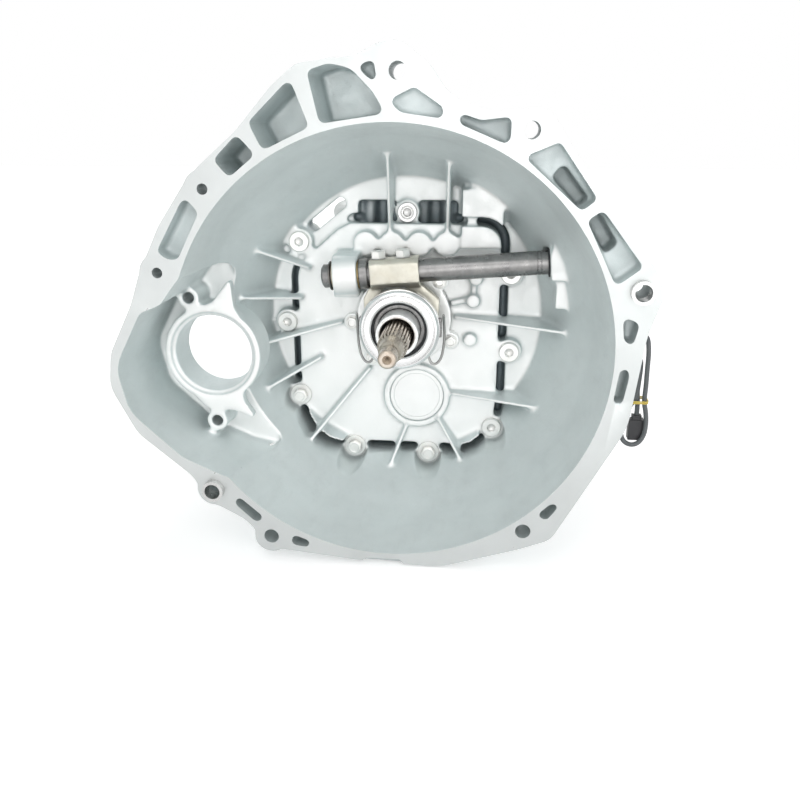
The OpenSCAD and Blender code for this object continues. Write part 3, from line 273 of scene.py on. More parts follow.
def soften(faces, fillet, edge, voxel, adaptivity):
    """Fillets the inner corners and rounds the outer ones."""
    faces = offset(faces, fillet, voxel)
    faces = offset(faces, -(fillet + edge), voxel)
    return offset(faces, edge, voxel, adaptivity)


def cast(name, node, fillet, edge, voxel, adaptivity=0.06, stock=0):
    """Casting from a CAD node. stock moves its front plane forward, for machining off later."""
    points, triangles, quads = surface(NODES[node])
    points[points[:, 1] < points[:, 1].min() + 0.01, 1] -= stock
    points, triangles, quads = soften((points, triangles, quads), fillet, edge, voxel, adaptivity)
    obj = new_object(name, points, triangles.tolist() + quads.tolist())
    outward(obj)
    return obj


def carve(obj, cutter):
    """Cuts an object out of obj, and deletes it."""
    modifier = obj.modifiers.new("cut", "BOOLEAN")
    modifier.operation = "DIFFERENCE"
    modifier.solver = "MANIFOLD"
    modifier.object = cutter
    apply_modifiers(obj)
    bpy.data.objects.remove(cutter)
    return obj


def block(low, high):
    """Box between two corners, in millimetres."""
    vertices = [(x, y, z) for x in (low[0], high[0]) for y in (low[1], high[1]) for z in (low[2], high[2])]
    faces = [(0, 1, 3, 2), (4, 6, 7, 5), (0, 4, 5, 1), (2, 3, 7, 6), (0, 2, 6, 4), (1, 5, 7, 3)]
    obj = new_object("block", vertices, faces)
    outward(obj)
    return obj


# ---- Materials -----------------------------------------------------------------------

MIX_FIRST, MIX_SECOND, MIX_RESULT = 6, 7, 2                 # colour sockets of a mix node


class Look:
    """Node tree of one material, with the few blocks that all of them share."""

    def __init__(self, name, metallic, roughness):
        self.material = bpy.data.materials.new(name)
        self.material.use_nodes = True
        self.tree = self.material.node_tree
        self.shader = self.tree.nodes["Principled BSDF"]
        self.shader.inputs["Metallic"].default_value = metallic
        self.shader.inputs["Roughness"].default_value = roughness
        self.place = self.add("ShaderNodeTexCoord").outputs["Object"]

    def add(self, kind, **settings):
        node = self.tree.nodes.new(kind)
        for key, value in settings.items():
            setattr(node, key, value)
        return node

    def link(self, source, target):
        self.tree.links.new(source, target)

    def noise(self, scale, detail=3.0, roughness=0.55, stretch=None, seed=0.0):
        node = self.add("ShaderNodeTexNoise", noise_dimensions="4D")
        node.inputs["W"].default_value = seed
        node.inputs["Scale"].default_value = scale
        node.inputs["Detail"].default_value = detail
        node.inputs["Roughness"].default_value = roughness
        place = self.place
        if stretch:
            mapping = self.add("ShaderNodeMapping")
            mapping.inputs["Scale"].default_value = stretch
            self.link(place, mapping.inputs["Vector"])
            place = mapping.outputs["Vector"]
        self.link(place, node.inputs["Vector"])
        return node.outputs["Fac"]

    def ramp(self, value, low, high, to_low=0.0, to_high=1.0):
        node = self.add("ShaderNodeMapRange", clamp=True)
        node.inputs["From Min"].default_value = low
        node.inputs["From Max"].default_value = high
        node.inputs["To Min"].default_value = to_low
        node.inputs["To Max"].default_value = to_high
        self.link(value, node.inputs["Value"])
        return node.outputs["Result"]

    def mix(self, factor, first, second, blend="MIX"):
        node = self.add("ShaderNodeMix", data_type="RGBA", blend_type=blend)
        for socket, value in (("Factor", factor), (MIX_FIRST, first), (MIX_SECOND, second)):
            if isinstance(value, float):
                node.inputs[socket].default_value = value
            elif isinstance(value, tuple):
                node.inputs[socket].default_value = (*value, 1.0)
            else:
                self.link(value, node.inputs[socket])
        return node.outputs[MIX_RESULT]

    def math(self, operation, first, second=0.0):
        node = self.add("ShaderNodeMath", operation=operation)
        for socket, value in zip(node.inputs, (first, second)):
            if isinstance(value, float):
                socket.default_value = value
            else:
                self.link(value, socket)
        return node.outputs["Value"]

    def bump(self, height, distance, strength, under=None):
        node = self.add("ShaderNodeBump")
        node.inputs["Strength"].default_value = strength
        node.inputs["Distance"].default_value = distance
        self.link(height, node.inputs["Height"])
        if under:
            self.link(under, node.inputs["Normal"])
        return node.outputs["Normal"]

    def rings(self, pitch, axis, distortion, kind):
        """Lathe or mill marks, a pitch in metres apart."""
        node = self.add("ShaderNodeTexWave", wave_type=kind, wave_profile="SIN")
        if kind == "BANDS":
            node.bands_direction = axis
        else:
            node.rings_direction = axis
        node.inputs["Scale"].default_value = math.pi / (10 * pitch)
        node.inputs["Distortion"].default_value = distortion
        node.inputs["Detail"].default_value = 2.0
        node.inputs["Detail Scale"].default_value = 2.0
        self.link(self.place, node.inputs["Vector"])
        return node.outputs["Fac"]

    # Ambient occlusion, which paints shade into corners and crevices.
    def occlusion_shade(self, distance):
        node = self.add("ShaderNodeAmbientOcclusion", samples=6)
        node.inputs["Distance"].default_value = distance
        return node.outputs["AO"]

    def along_y(self, vector):
        node = self.add("ShaderNodeSeparateXYZ")
        self.link(vector, node.inputs[0])
        return node.outputs["Y"]

    def front(self, low, high):
        """0 to 1 as a surface turns toward the engine, between two Y parts of its normal."""
        return self.ramp(self.along_y(self.add("ShaderNodeNewGeometry").outputs["Normal"]), low, high)

    def faced(self, planes):
        """1 on surfaces that face the engine and lie in one of the planes."""
        height = self.along_y(self.place)
        inside = 0.0
        for plane in planes:
            off = self.math("ABSOLUTE", self.math("SUBTRACT", height, plane * MM))
            inside = self.math("MAXIMUM", inside, self.ramp(off, 0.0012, 0.0006))
        return self.math("MULTIPLY", self.front(-0.97, -0.995), inside)

    def depth(self, start, end):
        """0 in front of start and 1 behind end, both heights along Y in mm."""
        return self.ramp(self.along_y(self.place), start * MM, end * MM)

    def facing_front(self, start, end):
        """Like depth, on surfaces that face the engine; it places a painted highlight."""
        return self.math("MULTIPLY", self.front(-0.45, -0.85), self.depth(start, end))

    def done(self, colour, roughness, normal):
        """Links the colour, roughness and normal, and gives the finished material."""
        self.link(colour, self.shader.inputs["Base Color"])
        self.link(roughness, self.shader.inputs["Roughness"])
        self.link(normal, self.shader.inputs["Normal"])
        return self.material


def shade(colour, factor):
    return tuple(min(1.0, c * factor) for c in colour)


def casting(name, colour, planes=()):
    """Die-cast alloy: fine grain, flow patches and painted shade in its crevices.

    Planes, heights along Y in mm, are faced. With planes, surfaces deep in the bell that face the engine also get
    a painted highlight, and the moat round the plate painted shade.
    """
    occlusion_shade_tone, grain = 0.7, 0.00016
    look = Look(name, 0.55, 0.55)
    patches = look.ramp(look.noise(14, 4, 0.6), 0.3, 0.7)
    tone = look.mix(patches, shade(colour, 0.93), shade(colour, 1.04))
    flow = look.ramp(look.noise(60, 5, 0.7, stretch=(1, 0.35, 1), seed=3), 0.52, 0.75)
    tone = look.mix(look.math("MULTIPLY", flow, 0.35), tone, shade(colour, 0.80))
    specks = look.ramp(look.noise(1400, 2, 0.5, seed=5), 0.62, 0.75)
    tone = look.mix(look.math("MULTIPLY", specks, 0.25), tone, shade(colour, 0.72))
    # Painted shade: ambient occlusion darkens the casting in its corners and crevices.
    shadow = look.ramp(look.occlusion_shade(0.016), 0.25, 0.9, occlusion_shade_tone, 1.0)
    tone = look.mix(1.0, tone, shadow, "MULTIPLY")
    if planes:
        # Painted highlight: surfaces deep in the bell that face the engine are brightened to a near-white tone.
        tone = look.mix(look.facing_front(STARTER_FACE - 8, STARTER_FACE - 2), tone, LIT_AND_FACED_TONE)
        # Painted shade: the groove round the plate is darkened where ambient occlusion is deep.
        moat_shade = look.math("MULTIPLY", look.depth(PLATE_Y + 13, PLATE_Y + 19),
                           look.ramp(look.occlusion_shade(0.025), 0.80, 0.55))
        tone = look.mix(moat_shade, tone, MOAT_SHADE_TONE)
        # Machined faces: a real faced finish, painted in the near-white tone of the highlight.
        tone = look.mix(look.faced(planes), tone, shade(LIT_AND_FACED_TONE, 1.03))
    rough = look.ramp(look.noise(90, 3, seed=8), 0.3, 0.7, 0.46, 0.66)
    normal = look.bump(look.noise(420, 4, 0.65, seed=1), grain * 2.2, 0.5)
    normal = look.bump(look.noise(1700, 2, 0.6, seed=2), grain, 0.6, normal)
    return look.done(tone, rough, normal)


def machined(name, colour, marks=0.0011, roughness=0.34):
    """Milled or faced alloy: faint tool marks and small scratches."""
    look = Look(name, 0.7, roughness)
    tone = look.mix(look.ramp(look.noise(22, 4), 0.3, 0.7), shade(colour, 0.94), shade(colour, 1.03))
    arcs = look.rings(marks, "Y", 1.2, "RINGS")
    tone = look.mix(look.math("MULTIPLY", arcs, 0.08), tone, shade(colour, 0.85))
    scratches = look.ramp(look.noise(260, 3, 0.7, stretch=(6, 1, 0.5), seed=4), 0.63, 0.7)
    tone = look.mix(look.math("MULTIPLY", scratches, 0.14), tone, shade(colour, 0.7))
    rough = look.ramp(look.noise(70, 3, seed=6), 0.3, 0.7, roughness - 0.07, roughness + 0.10)
    normal = look.bump(arcs, 0.00002, 0.35)
    normal = look.bump(look.noise(900, 3, seed=7), 0.00004, 0.4, normal)
    return look.done(tone, rough, normal)


def steel(name, colour, roughness, pitch, axis="Y", stain=None, kind="BANDS", metallic=0.95,
          stain_amount=0.5):
    """Turned or ground steel: tool rings, tarnish patches, fine scratches and painted shade in its recesses."""
    look = Look(name, metallic, roughness)
    tone = look.mix(look.ramp(look.noise(45, 4), 0.3, 0.7), shade(colour, 0.88), shade(colour, 1.08))
    rings = look.rings(pitch, axis, 0.5, kind)
    tone = look.mix(look.math("MULTIPLY", rings, 0.10), tone, shade(colour, 0.75))
    if stain:
        patch = look.ramp(look.noise(70, 5, 0.7, seed=9), 0.42, 0.68, 0.0, stain_amount)
        tone = look.mix(patch, tone, stain)
    # Painted shade: ambient occlusion darkens the steel in its recesses and where parts meet.
    recess_shade = look.ramp(look.occlusion_shade(0.004), 0.3, 0.95, 0.6, 1.0)
    tone = look.mix(1.0, tone, recess_shade, "MULTIPLY")
    rough = look.ramp(look.noise(120, 4, seed=2), 0.3, 0.7, roughness * 0.75, roughness * 1.3)
    normal = look.bump(rings, 0.00001, 0.4)
    normal = look.bump(look.noise(1100, 3, seed=3), 0.00003, 0.4, normal)
    return look.done(tone, rough, normal)


def plain(name, colour, roughness, grain=800):
    """Rubber, plastic or paint: mottled tone, patches of dust and fine texture."""
    spread = 0.12
    look = Look(name, 0.0, roughness)
    mottle = look.ramp(look.noise(60, 4), 0.3, 0.7)
    tone = look.mix(mottle, shade(colour, 1 - spread), shade(colour, 1 + spread))
    dust = look.ramp(look.noise(300, 4, 0.7, seed=4), 0.55, 0.8, 0.0, 0.25)
    tone = look.mix(dust, tone, shade(colour, 1.6))
    rough = look.ramp(look.noise(150, 3, seed=6), 0.3, 0.7, roughness - 0.08, roughness + 0.08)
    normal = look.bump(look.noise(grain, 3, seed=1), 0.00005, 0.6)
    return look.done(tone, rough, normal)


CAST = casting("bell_cast", (0.76, 0.82, 0.82), planes=FACED_PLANES)
CASE_CAST = casting("case_cast", (0.66, 0.69, 0.68))
FACED = machined("faced_alloy", (0.62, 0.645, 0.64))
RETAINER = machined("retainer_alloy", (0.88, 0.89, 0.88), 0.0006, 0.36)
BEARING = steel("bearing_steel", (0.80, 0.80, 0.80), 0.22, 0.0012, kind="RINGS")
OXIDE = steel("oxide_steel", (0.30, 0.295, 0.29), 0.30, 0.0006, "X", stain=(0.12, 0.12, 0.125))
SHAFT = steel("shaft_steel", (0.60, 0.54, 0.47), 0.30, 0.0008, stain=(0.34, 0.24, 0.16))
GEAR = steel("gear_steel", (0.50, 0.50, 0.51), 0.30, 0.0010, stain=(0.30, 0.26, 0.20), stain_amount=0.25)
BRIGHT = steel("bright_steel", (0.62, 0.62, 0.61), 0.28, 0.0006)
WIRE = steel("wire_steel", (0.38, 0.38, 0.37), 0.35, 0.0004)
ZINC = steel("zinc_fastener", (0.90, 0.90, 0.88), 0.38, 0.0005, stain=(0.72, 0.70, 0.62), stain_amount=0.3,
             metallic=0.7)
DARK_BOLT = steel("dark_fastener", (0.22, 0.22, 0.215), 0.42, 0.0005, stain=(0.14, 0.10, 0.07))
FORK = steel("fork_steel", (0.68, 0.66, 0.58), 0.44, 0.0009, "Z", stain=(0.52, 0.48, 0.38), metallic=0.75)
BRONZE = steel("bronze", (0.60, 0.46, 0.24), 0.4, 0.0006, stain=(0.35, 0.24, 0.12))
RUBBER = plain("seal_rubber", (0.022, 0.023, 0.025), 0.55)
PLASTIC = plain("black_plastic", (0.030, 0.030, 0.033), 0.45)
SHEATH = plain("lead_sheath", (0.12, 0.13, 0.135), 0.5, grain=1200)
TAPE = plain("tie_sheath", (0.78, 0.60, 0.12), 0.5, grain=1500)
PAINT = plain("lever_paint", (0.045, 0.045, 0.048), 0.40, grain=1500)
FLANGE_STEEL = steel("flange_steel", (0.20, 0.20, 0.205), 0.45, 0.0008, kind="RINGS",
                     stain=(0.20, 0.13, 0.08))

LOOKS = {"bell_cast": CAST, "case_cast": CASE_CAST, "retainer_alloy": RETAINER, "plated_fastener": ZINC,
         "dark_fastener": DARK_BOLT, "plain_steel": BRIGHT, "bearing_steel": BEARING, "dark_steel": OXIDE,
         "shaft_steel": SHAFT, "gear_steel": GEAR, "fork_steel": FORK, "wire_steel": WIRE, "bronze": BRONZE,
         "seal_rubber": RUBBER, "flange_steel": FLANGE_STEEL, "black_plastic": PLASTIC,
         "lead_sheath": SHEATH, "tie_sheath": TAPE, "lever_paint": PAINT}
for node, obj in NODES.items():
    obj.data.materials.clear()
    obj.data.materials.append(LOOKS[SLOT[node]])


# ---- Camera and light -------------------------------------------------------------------

CAMERA_AT, CAMERA_DOWN, CAMERA_LEFT, LENS = (0.0692, -0.6244, 0.1761), 0.326, 0.096, 37.35
WORLD_FILL = 0.42
LIGHTS = {"key": ((-0.25, -1.25, 1.30), (0, 0.05, 0), 1.3, 7.5),
          "front": ((0.10, -1.70, 0.10), (0, 0.12, 0), 0.9, 4.5),
          "fill": ((1.1, -1.1, 0.35), (0, 0.05, 0), 1.2, 5),
          "top": ((0.1, 0.5, 1.5), (0, 0.3, 0), 1.2, 6)}    # place, target, size and power
FLOOR_HALF, FLOOR_GAP = 6000, 1                             # half width and gap under the part, in mm
GLOW_FROM, GLOW_TO = (0.3, 0.4), (1.6, 1.1)                 # distance in metres and glow


def set_camera():
    camera = bpy.data.objects.new("camera", bpy.data.cameras.new("camera"))
    bpy.context.scene.collection.objects.link(camera)
    camera.location = CAMERA_AT
    camera.rotation_euler = (math.pi / 2 - CAMERA_DOWN, 0, CAMERA_LEFT)
    camera.data.lens = LENS
    camera.data.sensor_width = 36
    bpy.context.scene.camera = camera


def area_light(name, place, target, size, power):
    light = bpy.data.objects.new(name, bpy.data.lights.new(name, "AREA"))
    light.data.size = size
    light.data.energy = power
    light.location = place
    light.rotation_euler = (Vector(target) - Vector(place)).to_track_quat("-Z", "Y").to_euler()
    bpy.context.scene.collection.objects.link(light)


def seen_directly(tree):
    """1 for rays from the camera, from reflections and through glass."""
    path = tree.nodes.new("ShaderNodeLightPath")
    total = None
    for output in ("Is Camera Ray", "Is Glossy Ray", "Is Transmission Ray"):
        if total is None:
            total = path.outputs[output]
            continue
        node = tree.nodes.new("ShaderNodeMath")
        node.operation = "MAXIMUM"
        tree.links.new(total, node.inputs[0])
        tree.links.new(path.outputs[output], node.inputs[1])
        total = node.outputs[0]
    return total


def set_world():
    """White behind the part, dimmer where it only lights the part."""
    world = bpy.data.worlds.new("studio")
    bpy.context.scene.world = world
    world.use_nodes = True
    tree = world.node_tree
    background = tree.nodes["Background"]
    background.inputs["Color"].default_value = (1, 1, 1, 1)
    strength = tree.nodes.new("ShaderNodeMapRange")
    strength.inputs["To Min"].default_value = WORLD_FILL
    strength.inputs["To Max"].default_value = 1.0
    tree.links.new(seen_directly(tree), strength.inputs["Value"])
    tree.links.new(strength.outputs["Result"], background.inputs["Strength"])


def set_floor():
    """White floor whose own glow, seen directly, fades it into the background."""
    height = CAD_BOX[0].z / MM - FLOOR_GAP
    corners = [(-1, -1), (1, -1), (1, 1), (-1, 1)]
    points = [(x * FLOOR_HALF, y * FLOOR_HALF, height) for x, y in corners]
    floor = new_object("floor", points, [(0, 1, 2, 3)])
    material = bpy.data.materials.new("floor")
    material.use_nodes = True
    tree = material.node_tree
    shader = tree.nodes["Principled BSDF"]
    shader.inputs["Base Color"].default_value = (0.9, 0.9, 0.9, 1)
    shader.inputs["Roughness"].default_value = 0.9
    shader.inputs["Emission Color"].default_value = (1, 1, 1, 1)
    away = tree.nodes.new("ShaderNodeVectorMath")
    away.operation = "LENGTH"
    tree.links.new(tree.nodes.new("ShaderNodeTexCoord").outputs["Object"], away.inputs[0])
    fade = tree.nodes.new("ShaderNodeMapRange")
    for socket, value in zip(("From Min", "To Min", "From Max", "To Max"), GLOW_FROM + GLOW_TO):
        fade.inputs[socket].default_value = value
    tree.links.new(away.outputs["Value"], fade.inputs["Value"])
    glow = tree.nodes.new("ShaderNodeMath")
    glow.operation = "MULTIPLY"
    tree.links.new(seen_directly(tree), glow.inputs[0])
    tree.links.new(fade.outputs["Result"], glow.inputs[1])
    tree.links.new(glow.outputs[0], shader.inputs["Emission Strength"])
    floor.data.materials.append(material)


bpy.context.scene.view_settings.view_transform = "Standard"
set_camera()
set_world()
for name, values in LIGHTS.items():
    area_light(name, *values)
set_floor()


# ---- Finding pieces inside a CAD node ------------------------------------------------------

def islands(node):
    """Lowest and highest corner of each separate solid of a node, in millimetres."""
    points, triangles, _ = surface(NODES[node])
    _, weld = np.unique(np.round(points, 2), axis=0, return_inverse=True)
    weld = weld.reshape(-1)
    root = list(range(weld.max() + 1))

    def find(i):
        while root[i] != i:
            root[i] = root[root[i]]
            i = root[i]
        return i

    for a, b, c in weld[triangles].tolist():
        root[find(a)] = find(b)
        root[find(b)] = find(c)
    groups = {}
    for i, w in enumerate(weld.tolist()):
        groups.setdefault(find(w), []).append(i)
    boxes = [(Vector(points[g].min(0)), Vector(points[g].max(0))) for g in groups.values()]
    return sorted(boxes, key=lambda b: tuple(b[0]))


# ---- Turned and hexagonal pieces --------------------------------------------------------------

ROUND, HEX, HEX_CONE = 0, 1, 2
CONE_SLOPE = 0.55                                           # drop of a head's corners under the cone
TURNED_SEGMENTS = 96


def turned(name, profile, matrix):
    """Like a lathe, but a station (radius, height, kind) may be a hexagon, or its edge under a cone."""
    vertices = []
    for station in profile:
        radius, height, kind = (*station, ROUND)[:3]
        for k in range(TURNED_SEGMENTS):
            turn = 2 * math.pi * k / TURNED_SEGMENTS
            off_flat = (turn + math.pi / 6) % (math.pi / 3) - math.pi / 6
            far = radius / math.cos(off_flat) if kind else radius
            drop = (far - radius) * CONE_SLOPE if kind == HEX_CONE else 0
            vertices.append((far * math.cos(turn), far * math.sin(turn), height - drop))
    obj = new_object(name, vertices, skin(len(profile), TURNED_SEGMENTS), matrix)
    outward(obj)
    return obj


def facing(place, turn, tilt=None):
    """Matrix that puts a piece at a place, its local +Z toward the engine unless tilted otherwise."""
    return (Matrix.Translation(place) @ (tilt or Matrix.Rotation(math.radians(90), 4, "X"))
            @ Matrix.Rotation(turn, 4, "Z"))


def hex_bolt(name, matrix, radius, flats, washer, head, washer_t, length):
    """Bolt whose seat is at local height 0 and whose head stands up along +Z."""
    half, dish = flats / 2, 0.5
    top = washer_t + head
    profile = [(radius * 0.75, -length), (radius, -length + 1.2), (radius, 0),
               (washer - 0.5, 0), (washer, 0.35), (washer, washer_t - 0.45), (washer - 0.5, washer_t),
               (half * 1.1, washer_t), (half, washer_t + 0.01, HEX), (half, top - 0.12, HEX_CONE),
               (half * 0.93, top), (half * 0.78, top), (half * 0.68, top - dish), (0.4, top - dish)]
    return turned(name, profile, matrix)


def socket_bolt(name, matrix, radius, head_r, head, socket, length):
    """Like hex_bolt, with a round head and a hexagon socket."""
    profile = [(radius * 0.75, -length), (radius, -length + 1.2), (radius, 0), (head_r - 0.5, 0),
               (head_r, 0.5), (head_r, head - 0.9), (head_r - 0.9, head), (socket * 1.25, head),
               (socket * 1.12, head - 0.5), (socket, head - 0.6, HEX), (socket, head - 3.0, HEX),
               (socket * 0.6, head - 3.4), (0.3, head - 3.8)]
    return turned(name, profile, matrix)


FIRST_TURN, NEXT_TURN = 0.37, 1.7                           # how far a row's heads are turned, in radians


def bolts_of(node, make):
    """One piece per separate solid of a node of bolts, joined."""
    made = []
    for i, (low, high) in enumerate(islands(node)):
        made.append(make(f"{node}_{i}", low, high, (low + high) / 2, FIRST_TURN + NEXT_TURN * i))
    return join(node.replace("_", "-"), made)


# ---- Bell housing and cases --------------------------------------------------------------------

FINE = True


def by_quality(fine, coarse):
    return fine if FINE else coarse


def build_bell():
    """Bell housing with a sharp machined front, cut back from extra stock."""
    stock = 5
    bell = cast("bell-shell", "bell_housing", 3.0, 0.7, by_quality(0.8, 1.25), 0.04, stock)
    low, high = box("bell_housing")
    ahead, beside = Vector((9, 3 * stock, 9)), Vector((9, 0, 9))
    carve(bell, block(low - ahead, Vector((high.x, low.y, high.z)) + beside))
    finish_piece(bell, ["bell_housing"], [CAST, FACED])
    for face in bell.data.polygons:
        if face.normal.y < -0.999 and face.center.y < low.y * MM + 0.00002:
            face.material_index = 1


def build_cases():
    for node, fillet, edge, voxel in (("main_case", 4.0, 0.3, by_quality(1.0, 1.4)),
                                      ("extension_housing", 4.0, 1.3, by_quality(1.3, 2.2)),
                                      ("shift_tower", 2.5, 0.9, by_quality(0.8, 1.4))):
        finish_piece(cast(node.replace("_", "-"), node, fillet, edge, voxel), [node], [CASE_CAST])


def build_rounded():
    """Forged and machined pieces, from their CAD solids with small fillets and broken edges."""
    for node, fillet, edge, voxel in (("bearing_retainer", 1.6, 0.4, 0.5), ("release_fork", 2.2, 0.4, 0.4),
                                      ("clutch_lever", 1.6, 0.7, 0.6), ("release_carrier", 1.2, 0.5, 0.5),
                                      ("gimbal_ring", 0.6, 0.5, 0.4), ("output_flange", 1.8, 0.6, 0.6),
                                      ("speed_sensor", 0.8, 0.6, 0.5), ("lead_plug", 0.5, 0.4, 0.25)):
        piece = cast(node.replace("_", "-"), node, fillet, edge, voxel * by_quality(1, 1.8))
        finish_piece(piece, [node], [LOOKS[SLOT[node]]])


# ---- Clutch release --------------------------------------------------------------------------------

def build_release_bearing():
    """Thrust bearing's turned outer ring with its lips and groove, and the seal in its bore."""
    low, high = box("release_bearing")
    front, back, outer = low.y, high.y, high.x
    bore = 24.5
    profile = [(bore, back), (bore, front + 1.4), (bore + 0.5, front + 0.6), (bore + 1.8, front),
               (outer - 5.3, front), (outer - 5.0, front + 0.7), (outer - 4.4, front + 0.7),
               (outer - 4.1, front + 0.1), (outer - 2.6, front + 0.7), (outer - 1.0, front + 2.0),
               (outer - 0.5, front + 3.2), (outer - 0.9, front + 3.5), (outer - 0.9, front + 4.2),
               (outer - 0.1, front + 4.5), (outer, front + 5.4), (outer, back - 1.6),
               (outer - 0.8, back - 0.6), (outer - 2.4, back)]
    ring = lathe("release-bearing", rounded_profile(profile, 0.25), ALONG_Y, 160)
    finish_piece(ring, ["release_bearing"], [BEARING])
    lip = [(bore - 2.2, front + 3.2), (bore - 0.2, front + 2.2), (bore - 0.1, front + 3.8),
           (bore - 1.6, front + 4.6)]
    seal = lathe("release-seal", rounded_profile(lip, 0.3), ALONG_Y, 128)
    finish_piece(seal, [], [RUBBER], "thrust")


def build_cross_shaft():
    """Shaft of the release fork, its circlip and its seal; stations run along it from its joint."""
    start, end, radius = -72.0, 190.0, 10.5
    collar_from, collar_to, line_1, line_2, seal_at = -38.0, -30.0, 119.0, 122.4, 129.0
    profile = [(0, start), (radius - 2.2, start), (radius, start + 1.6), (radius, start + 7.0),
               (radius - 1.5, start + 7.05), (radius - 1.5, start + 8.55), (radius, start + 8.6),
               (radius, collar_from), (radius + 2.4, collar_from + 0.1), (radius + 3, collar_from + 0.8),
               (radius + 3, collar_to - 0.8), (radius + 2.4, collar_to - 0.05), (radius, collar_to)]
    for line in (line_1, line_2):
        profile += [(radius, line), (radius - 0.35, line + 0.2), (radius - 0.35, line + 0.8),
                    (radius, line + 1.0)]
    profile += [(radius, end - 1.4), (radius - 1.4, end), (0, end)]
    finish_piece(lathe("cross-shaft", profile, ON_CROSS, 96), ["cross_shaft"], [OXIDE])
    ring = [(radius - 1.4, start + 7.1), (radius + 2.2, start + 7.1), (radius + 2.5, start + 7.4),
            (radius + 2.5, start + 8.2), (radius + 2.2, start + 8.5), (radius - 1.4, start + 8.5)]
    clip = lathe("cross-circlip", ring, ON_CROSS, 96)
    gap = block((-3, 0, start + 5), (3, 20, start + 11))
    gap.data.transform(Matrix.Scale(1 / MM, 4))
    gap.data.transform(ON_CROSS)
    gap.data.transform(Matrix.Scale(MM, 4))
    finish_piece(carve(clip, gap), ["cross_circlip"], [DARK_BOLT])
    seal = [(radius + 0.1, seal_at), (radius + 0.6, seal_at - 0.4), (radius + 1.6, seal_at + 0.6),
            (radius + 2.2, seal_at + 0.1), (radius + 2.4, seal_at + 0.5), (radius + 2.4, seal_at + 5),
            (radius + 0.1, seal_at + 5)]
    finish_piece(lathe("cross-seal", rounded_profile(seal, 0.2), ON_CROSS, 96), ["cross_seal"], [RUBBER])


def build_clips():
    """Hairpin springs that hook the release bearing's carrier to the fork."""
    back = box("release_bearing")[1].y + 0.5
    made = []
    route = [(38.7, back - 2, 12), (39.0, back + 3, 4), (39.4, back + 7, -8), (38.6, back + 8.5, -20),
             (36.4, back + 9, -30), (32.4, back + 8.8, -35.4), (28.2, back + 8.5, -35),
             (25.6, back + 8.2, -30), (25.0, back + 7.8, -22), (25.2, back + 7.6, -15)]
    for side in (-1, 1):
        made.append(tube(f"clip{side}", curve_through([(side * x, y, z) for x, y, z in route]), 1.2, 14))
    finish_piece(join("bearing-clips", made), ["bearing_clips"], [WIRE], angle=60)


# ---- Input shaft -----------------------------------------------------------------------------------

INPUT_GEAR_FROM = 149.9                                     # behind here the shaft is the CAD's own surface


def build_input_shaft():
    """Pilot, journal and splines from stations along the shaft, and the gear from CAD."""
    tooth_count = 24
    pitch = 2 * math.pi / tooth_count
    across = [(-0.5, 0), (-0.36, 0), (-0.25, 0.85), (-0.21, 1), (0.21, 1), (0.25, 0.85), (0.36, 0)]
    tip = box("input_shaft")[0].y
    root, top = 10.8, 12.5
    stations = [(tip + 5.4, 0.02, 0.02), (tip + 2.4, 2.1, 2.1), (tip + 2.2, 2.3, 2.3), (tip, 3.7, 3.7),
                (tip, 5.7, 5.7), (tip + 0.3, 6.2, 6.2), (tip + 1.4, 7.3, 7.3), (tip + 1.8, 7.5, 7.5),
                (6.6, 7.5, 7.5), (7.2, 7.55, 7.55), (9.0, 8.9, 8.9), (9.8, 9.4, 9.4), (12, 9.5, 9.5),
                (22.6, 10.7, 10.7), (23.8, 10.8, 10.8), (24.6, root, root + 0.1), (26.4, root, top - 0.1),
                (27.0, root, top), (70.0, root, top), (73.5, top, top), (74.2, top, top), (152, top, top)]
    vertices = []
    for height, low, high in stations:
        for tooth in range(tooth_count):
            for share, rise in across:
                turn = (tooth + share) * pitch
                radius = low + (high - low) * rise
                vertices.append((radius * math.cos(turn), radius * math.sin(turn), height))
    front = new_object("input-shaft", vertices, skin(len(stations), tooth_count * len(across)), ALONG_Y)
    outward(front)
    points, triangles, _ = surface(NODES["input_shaft"])
    behind = (points[triangles][:, :, 1] > INPUT_GEAR_FROM).all(axis=1)
    rest = new_object("input-gear", points, triangles[behind].tolist())
    shaft = join("input-shaft", [front, rest])
    finish_piece(shaft, ["input_shaft"], [SHAFT], angle=25)


# ---- Fasteners -------------------------------------------------------------------------------------

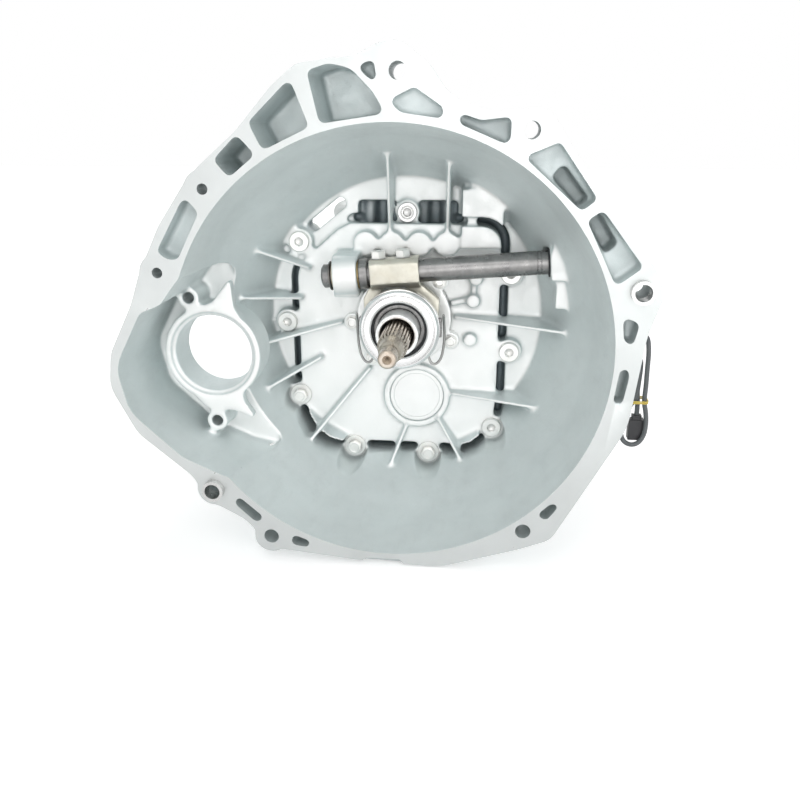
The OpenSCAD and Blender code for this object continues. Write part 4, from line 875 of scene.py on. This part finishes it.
def build_fasteners():
    """Bolts of each row, one per separate solid of its CAD node."""
    def housing(name, low, high, centre, turn):
        return hex_bolt(name, facing((centre.x, low.y + 8.5, centre.z), turn), 4, 12, 10.5, 6, 2.5,
                        high.y - low.y - 8.5)

    def retainer(name, low, high, centre, turn):
        return hex_bolt(name, facing((centre.x, low.y + 4.6, centre.z), turn), 3, 9, 6.5, 3.6, 1,
                        high.y - low.y - 4.6)

    def screw(name, low, high, centre, turn):
        return socket_bolt(name, facing((centre.x, low.y + 4, centre.z), turn), 4, 9.5, 4, 3.4,
                           high.y - low.y - 4)

    def rear(name, low, high, centre, turn):
        return hex_bolt(name, facing((centre.x, high.y - 8, centre.z), turn, ALONG_Y), 4, 12, 9, 6, 2,
                        high.y - low.y - 8)

    def tower(name, low, high, centre, turn):
        at = facing((centre.x, centre.y, high.z - 5), turn, Matrix.Identity(4))
        return hex_bolt(name, at, 3, 9.6, 5.5, 4.4, 0.6, high.z - low.z - 5)

    for node, make in (("housing_bolts", housing), ("retainer_bolts", retainer), ("housing_screws", screw),
                       ("extension_bolts", rear), ("tower_bolts", tower)):
        finish_piece(bolts_of(node, make), [node], [LOOKS[SLOT[node]]])
    made = []
    for i, along in enumerate((-20, 2)):
        up = (Matrix.Translation(CROSS_AT) @ Matrix.Rotation(-CROSS_TILT, 4, "Y")
              @ Matrix.Translation((along, 0, 12.5)) @ Matrix.Rotation(0.2 + i, 4, "Z"))
        made.append(hex_bolt(f"fork-bolt{i}", up, 4, 12.1, 6.9, 6.2, 0.8, 2))
    finish_piece(join("fork-bolts", made), ["fork_bolts"], [ZINC])


def build_small_parts():
    """Countershaft's cap and the detent plug, from the front."""
    low, high = box("countershaft_cap")
    centre, radius = (low + high) / 2, (high.x - low.x) / 2
    at = Matrix.Translation((centre.x, 0, centre.z)) @ ALONG_Y
    profile = [(0, low.y + 0.5), (radius - 4.2, low.y + 0.5), (radius - 3.6, low.y), (radius - 0.7, low.y),
               (radius, low.y + 0.7), (radius, high.y), (0, high.y)]
    finish_piece(lathe("countershaft-cap", profile, at, 128), ["countershaft_cap"], [RETAINER])
    low, high = box("detent_plug")
    centre = (low + high) / 2
    profile = [(6.9, -10), (6.9, 5), (8.6, 5.1), (9, 5.5), (9, 8.4), (8.4, 9), (6.2, 9), (5.7, 8.2),
               (5.2, 8.2), (4.8, 9), (4.0, 9), (3.5, 8.4), (3.4, 8.2, HEX), (3.4, 5.4, HEX), (0.3, 4.6)]
    at = facing((centre.x, low.y + 9, centre.z), 0.3)
    finish_piece(turned("detent-plug", profile, at), ["detent_plug"], [BRIGHT])


# ---- Reverse lamp lead ---------------------------------------------------------------------------

LEAD = [(126, 240, -50), (134, 240, -50), (144, 235, -52), (155, 222, -56), (170, 205, -61),
        (182, 180, -64), (191, 155, -64), (197, 130, -58), (201, 108, -46), (203, 90, -30),
        (204, 77, -12), (205, 68, 0), (207, 61, 6), (209, 56, 4), (210, 53, -6), (210, 52, -20),
        (210, 51, -34), (210, 51, -48), (212, 51, -58), (213, 51, -68), (212, 51, -78), (208, 51, -85),
        (202, 51, -87), (196, 51, -84), (193, 51, -77), (193, 51, -68), (195, 51.5, -58),
        (202, 53, -48), (204, 54, -40), (204.5, 54, -32), (205, 54.5, -24), (205.5, 57, -18),
        (206, 62, -15.5), (206, 67, -18), (206, 70, -24), (206, 69, -32), (206, 64.5, -41),
        (206, 60, -49), (206, 58, -56), (206, 58, -62)]
LEAD_R, TIE_R = 2.0, 0.62


def build_lead():
    """Lead on its route, and the tie around its folded lengths."""
    route = curve_through(LEAD)
    lead = tube("reverse-lead", route, LEAD_R, 12)
    finish_piece(lead, ["reverse_lead"], [SHEATH], angle=60)
    low, high = box("lead_tie")
    centre = (low + high) / 2
    half_x, half_y = (high.x - low.x) / 2 - 0.6, (high.y - low.y) / 2 - 0.6
    turns = [2 * math.pi * i / 48 for i in range(48)]
    made = []
    for lane in range(2):
        loop = [(centre.x + half_x * math.copysign(abs(math.cos(t)) ** 0.6, math.cos(t)),
                 centre.y + half_y * math.copysign(abs(math.sin(t)) ** 0.6, math.sin(t)),
                 centre.z - 0.7 + 1.4 * lane + 0.25 * math.sin(3 * t))
                for t in turns]
        made.append(tube(f"tie{lane}", loop + [loop[0]], TIE_R, 10))
    tie = join("lead-tie", made)
    finish_piece(tie, ["lead_tie"], [TAPE], angle=60)


build_bell()
build_cases()
build_rounded()
build_release_bearing()
build_cross_shaft()
build_clips()
build_input_shaft()
build_fasteners()
build_small_parts()
build_lead()
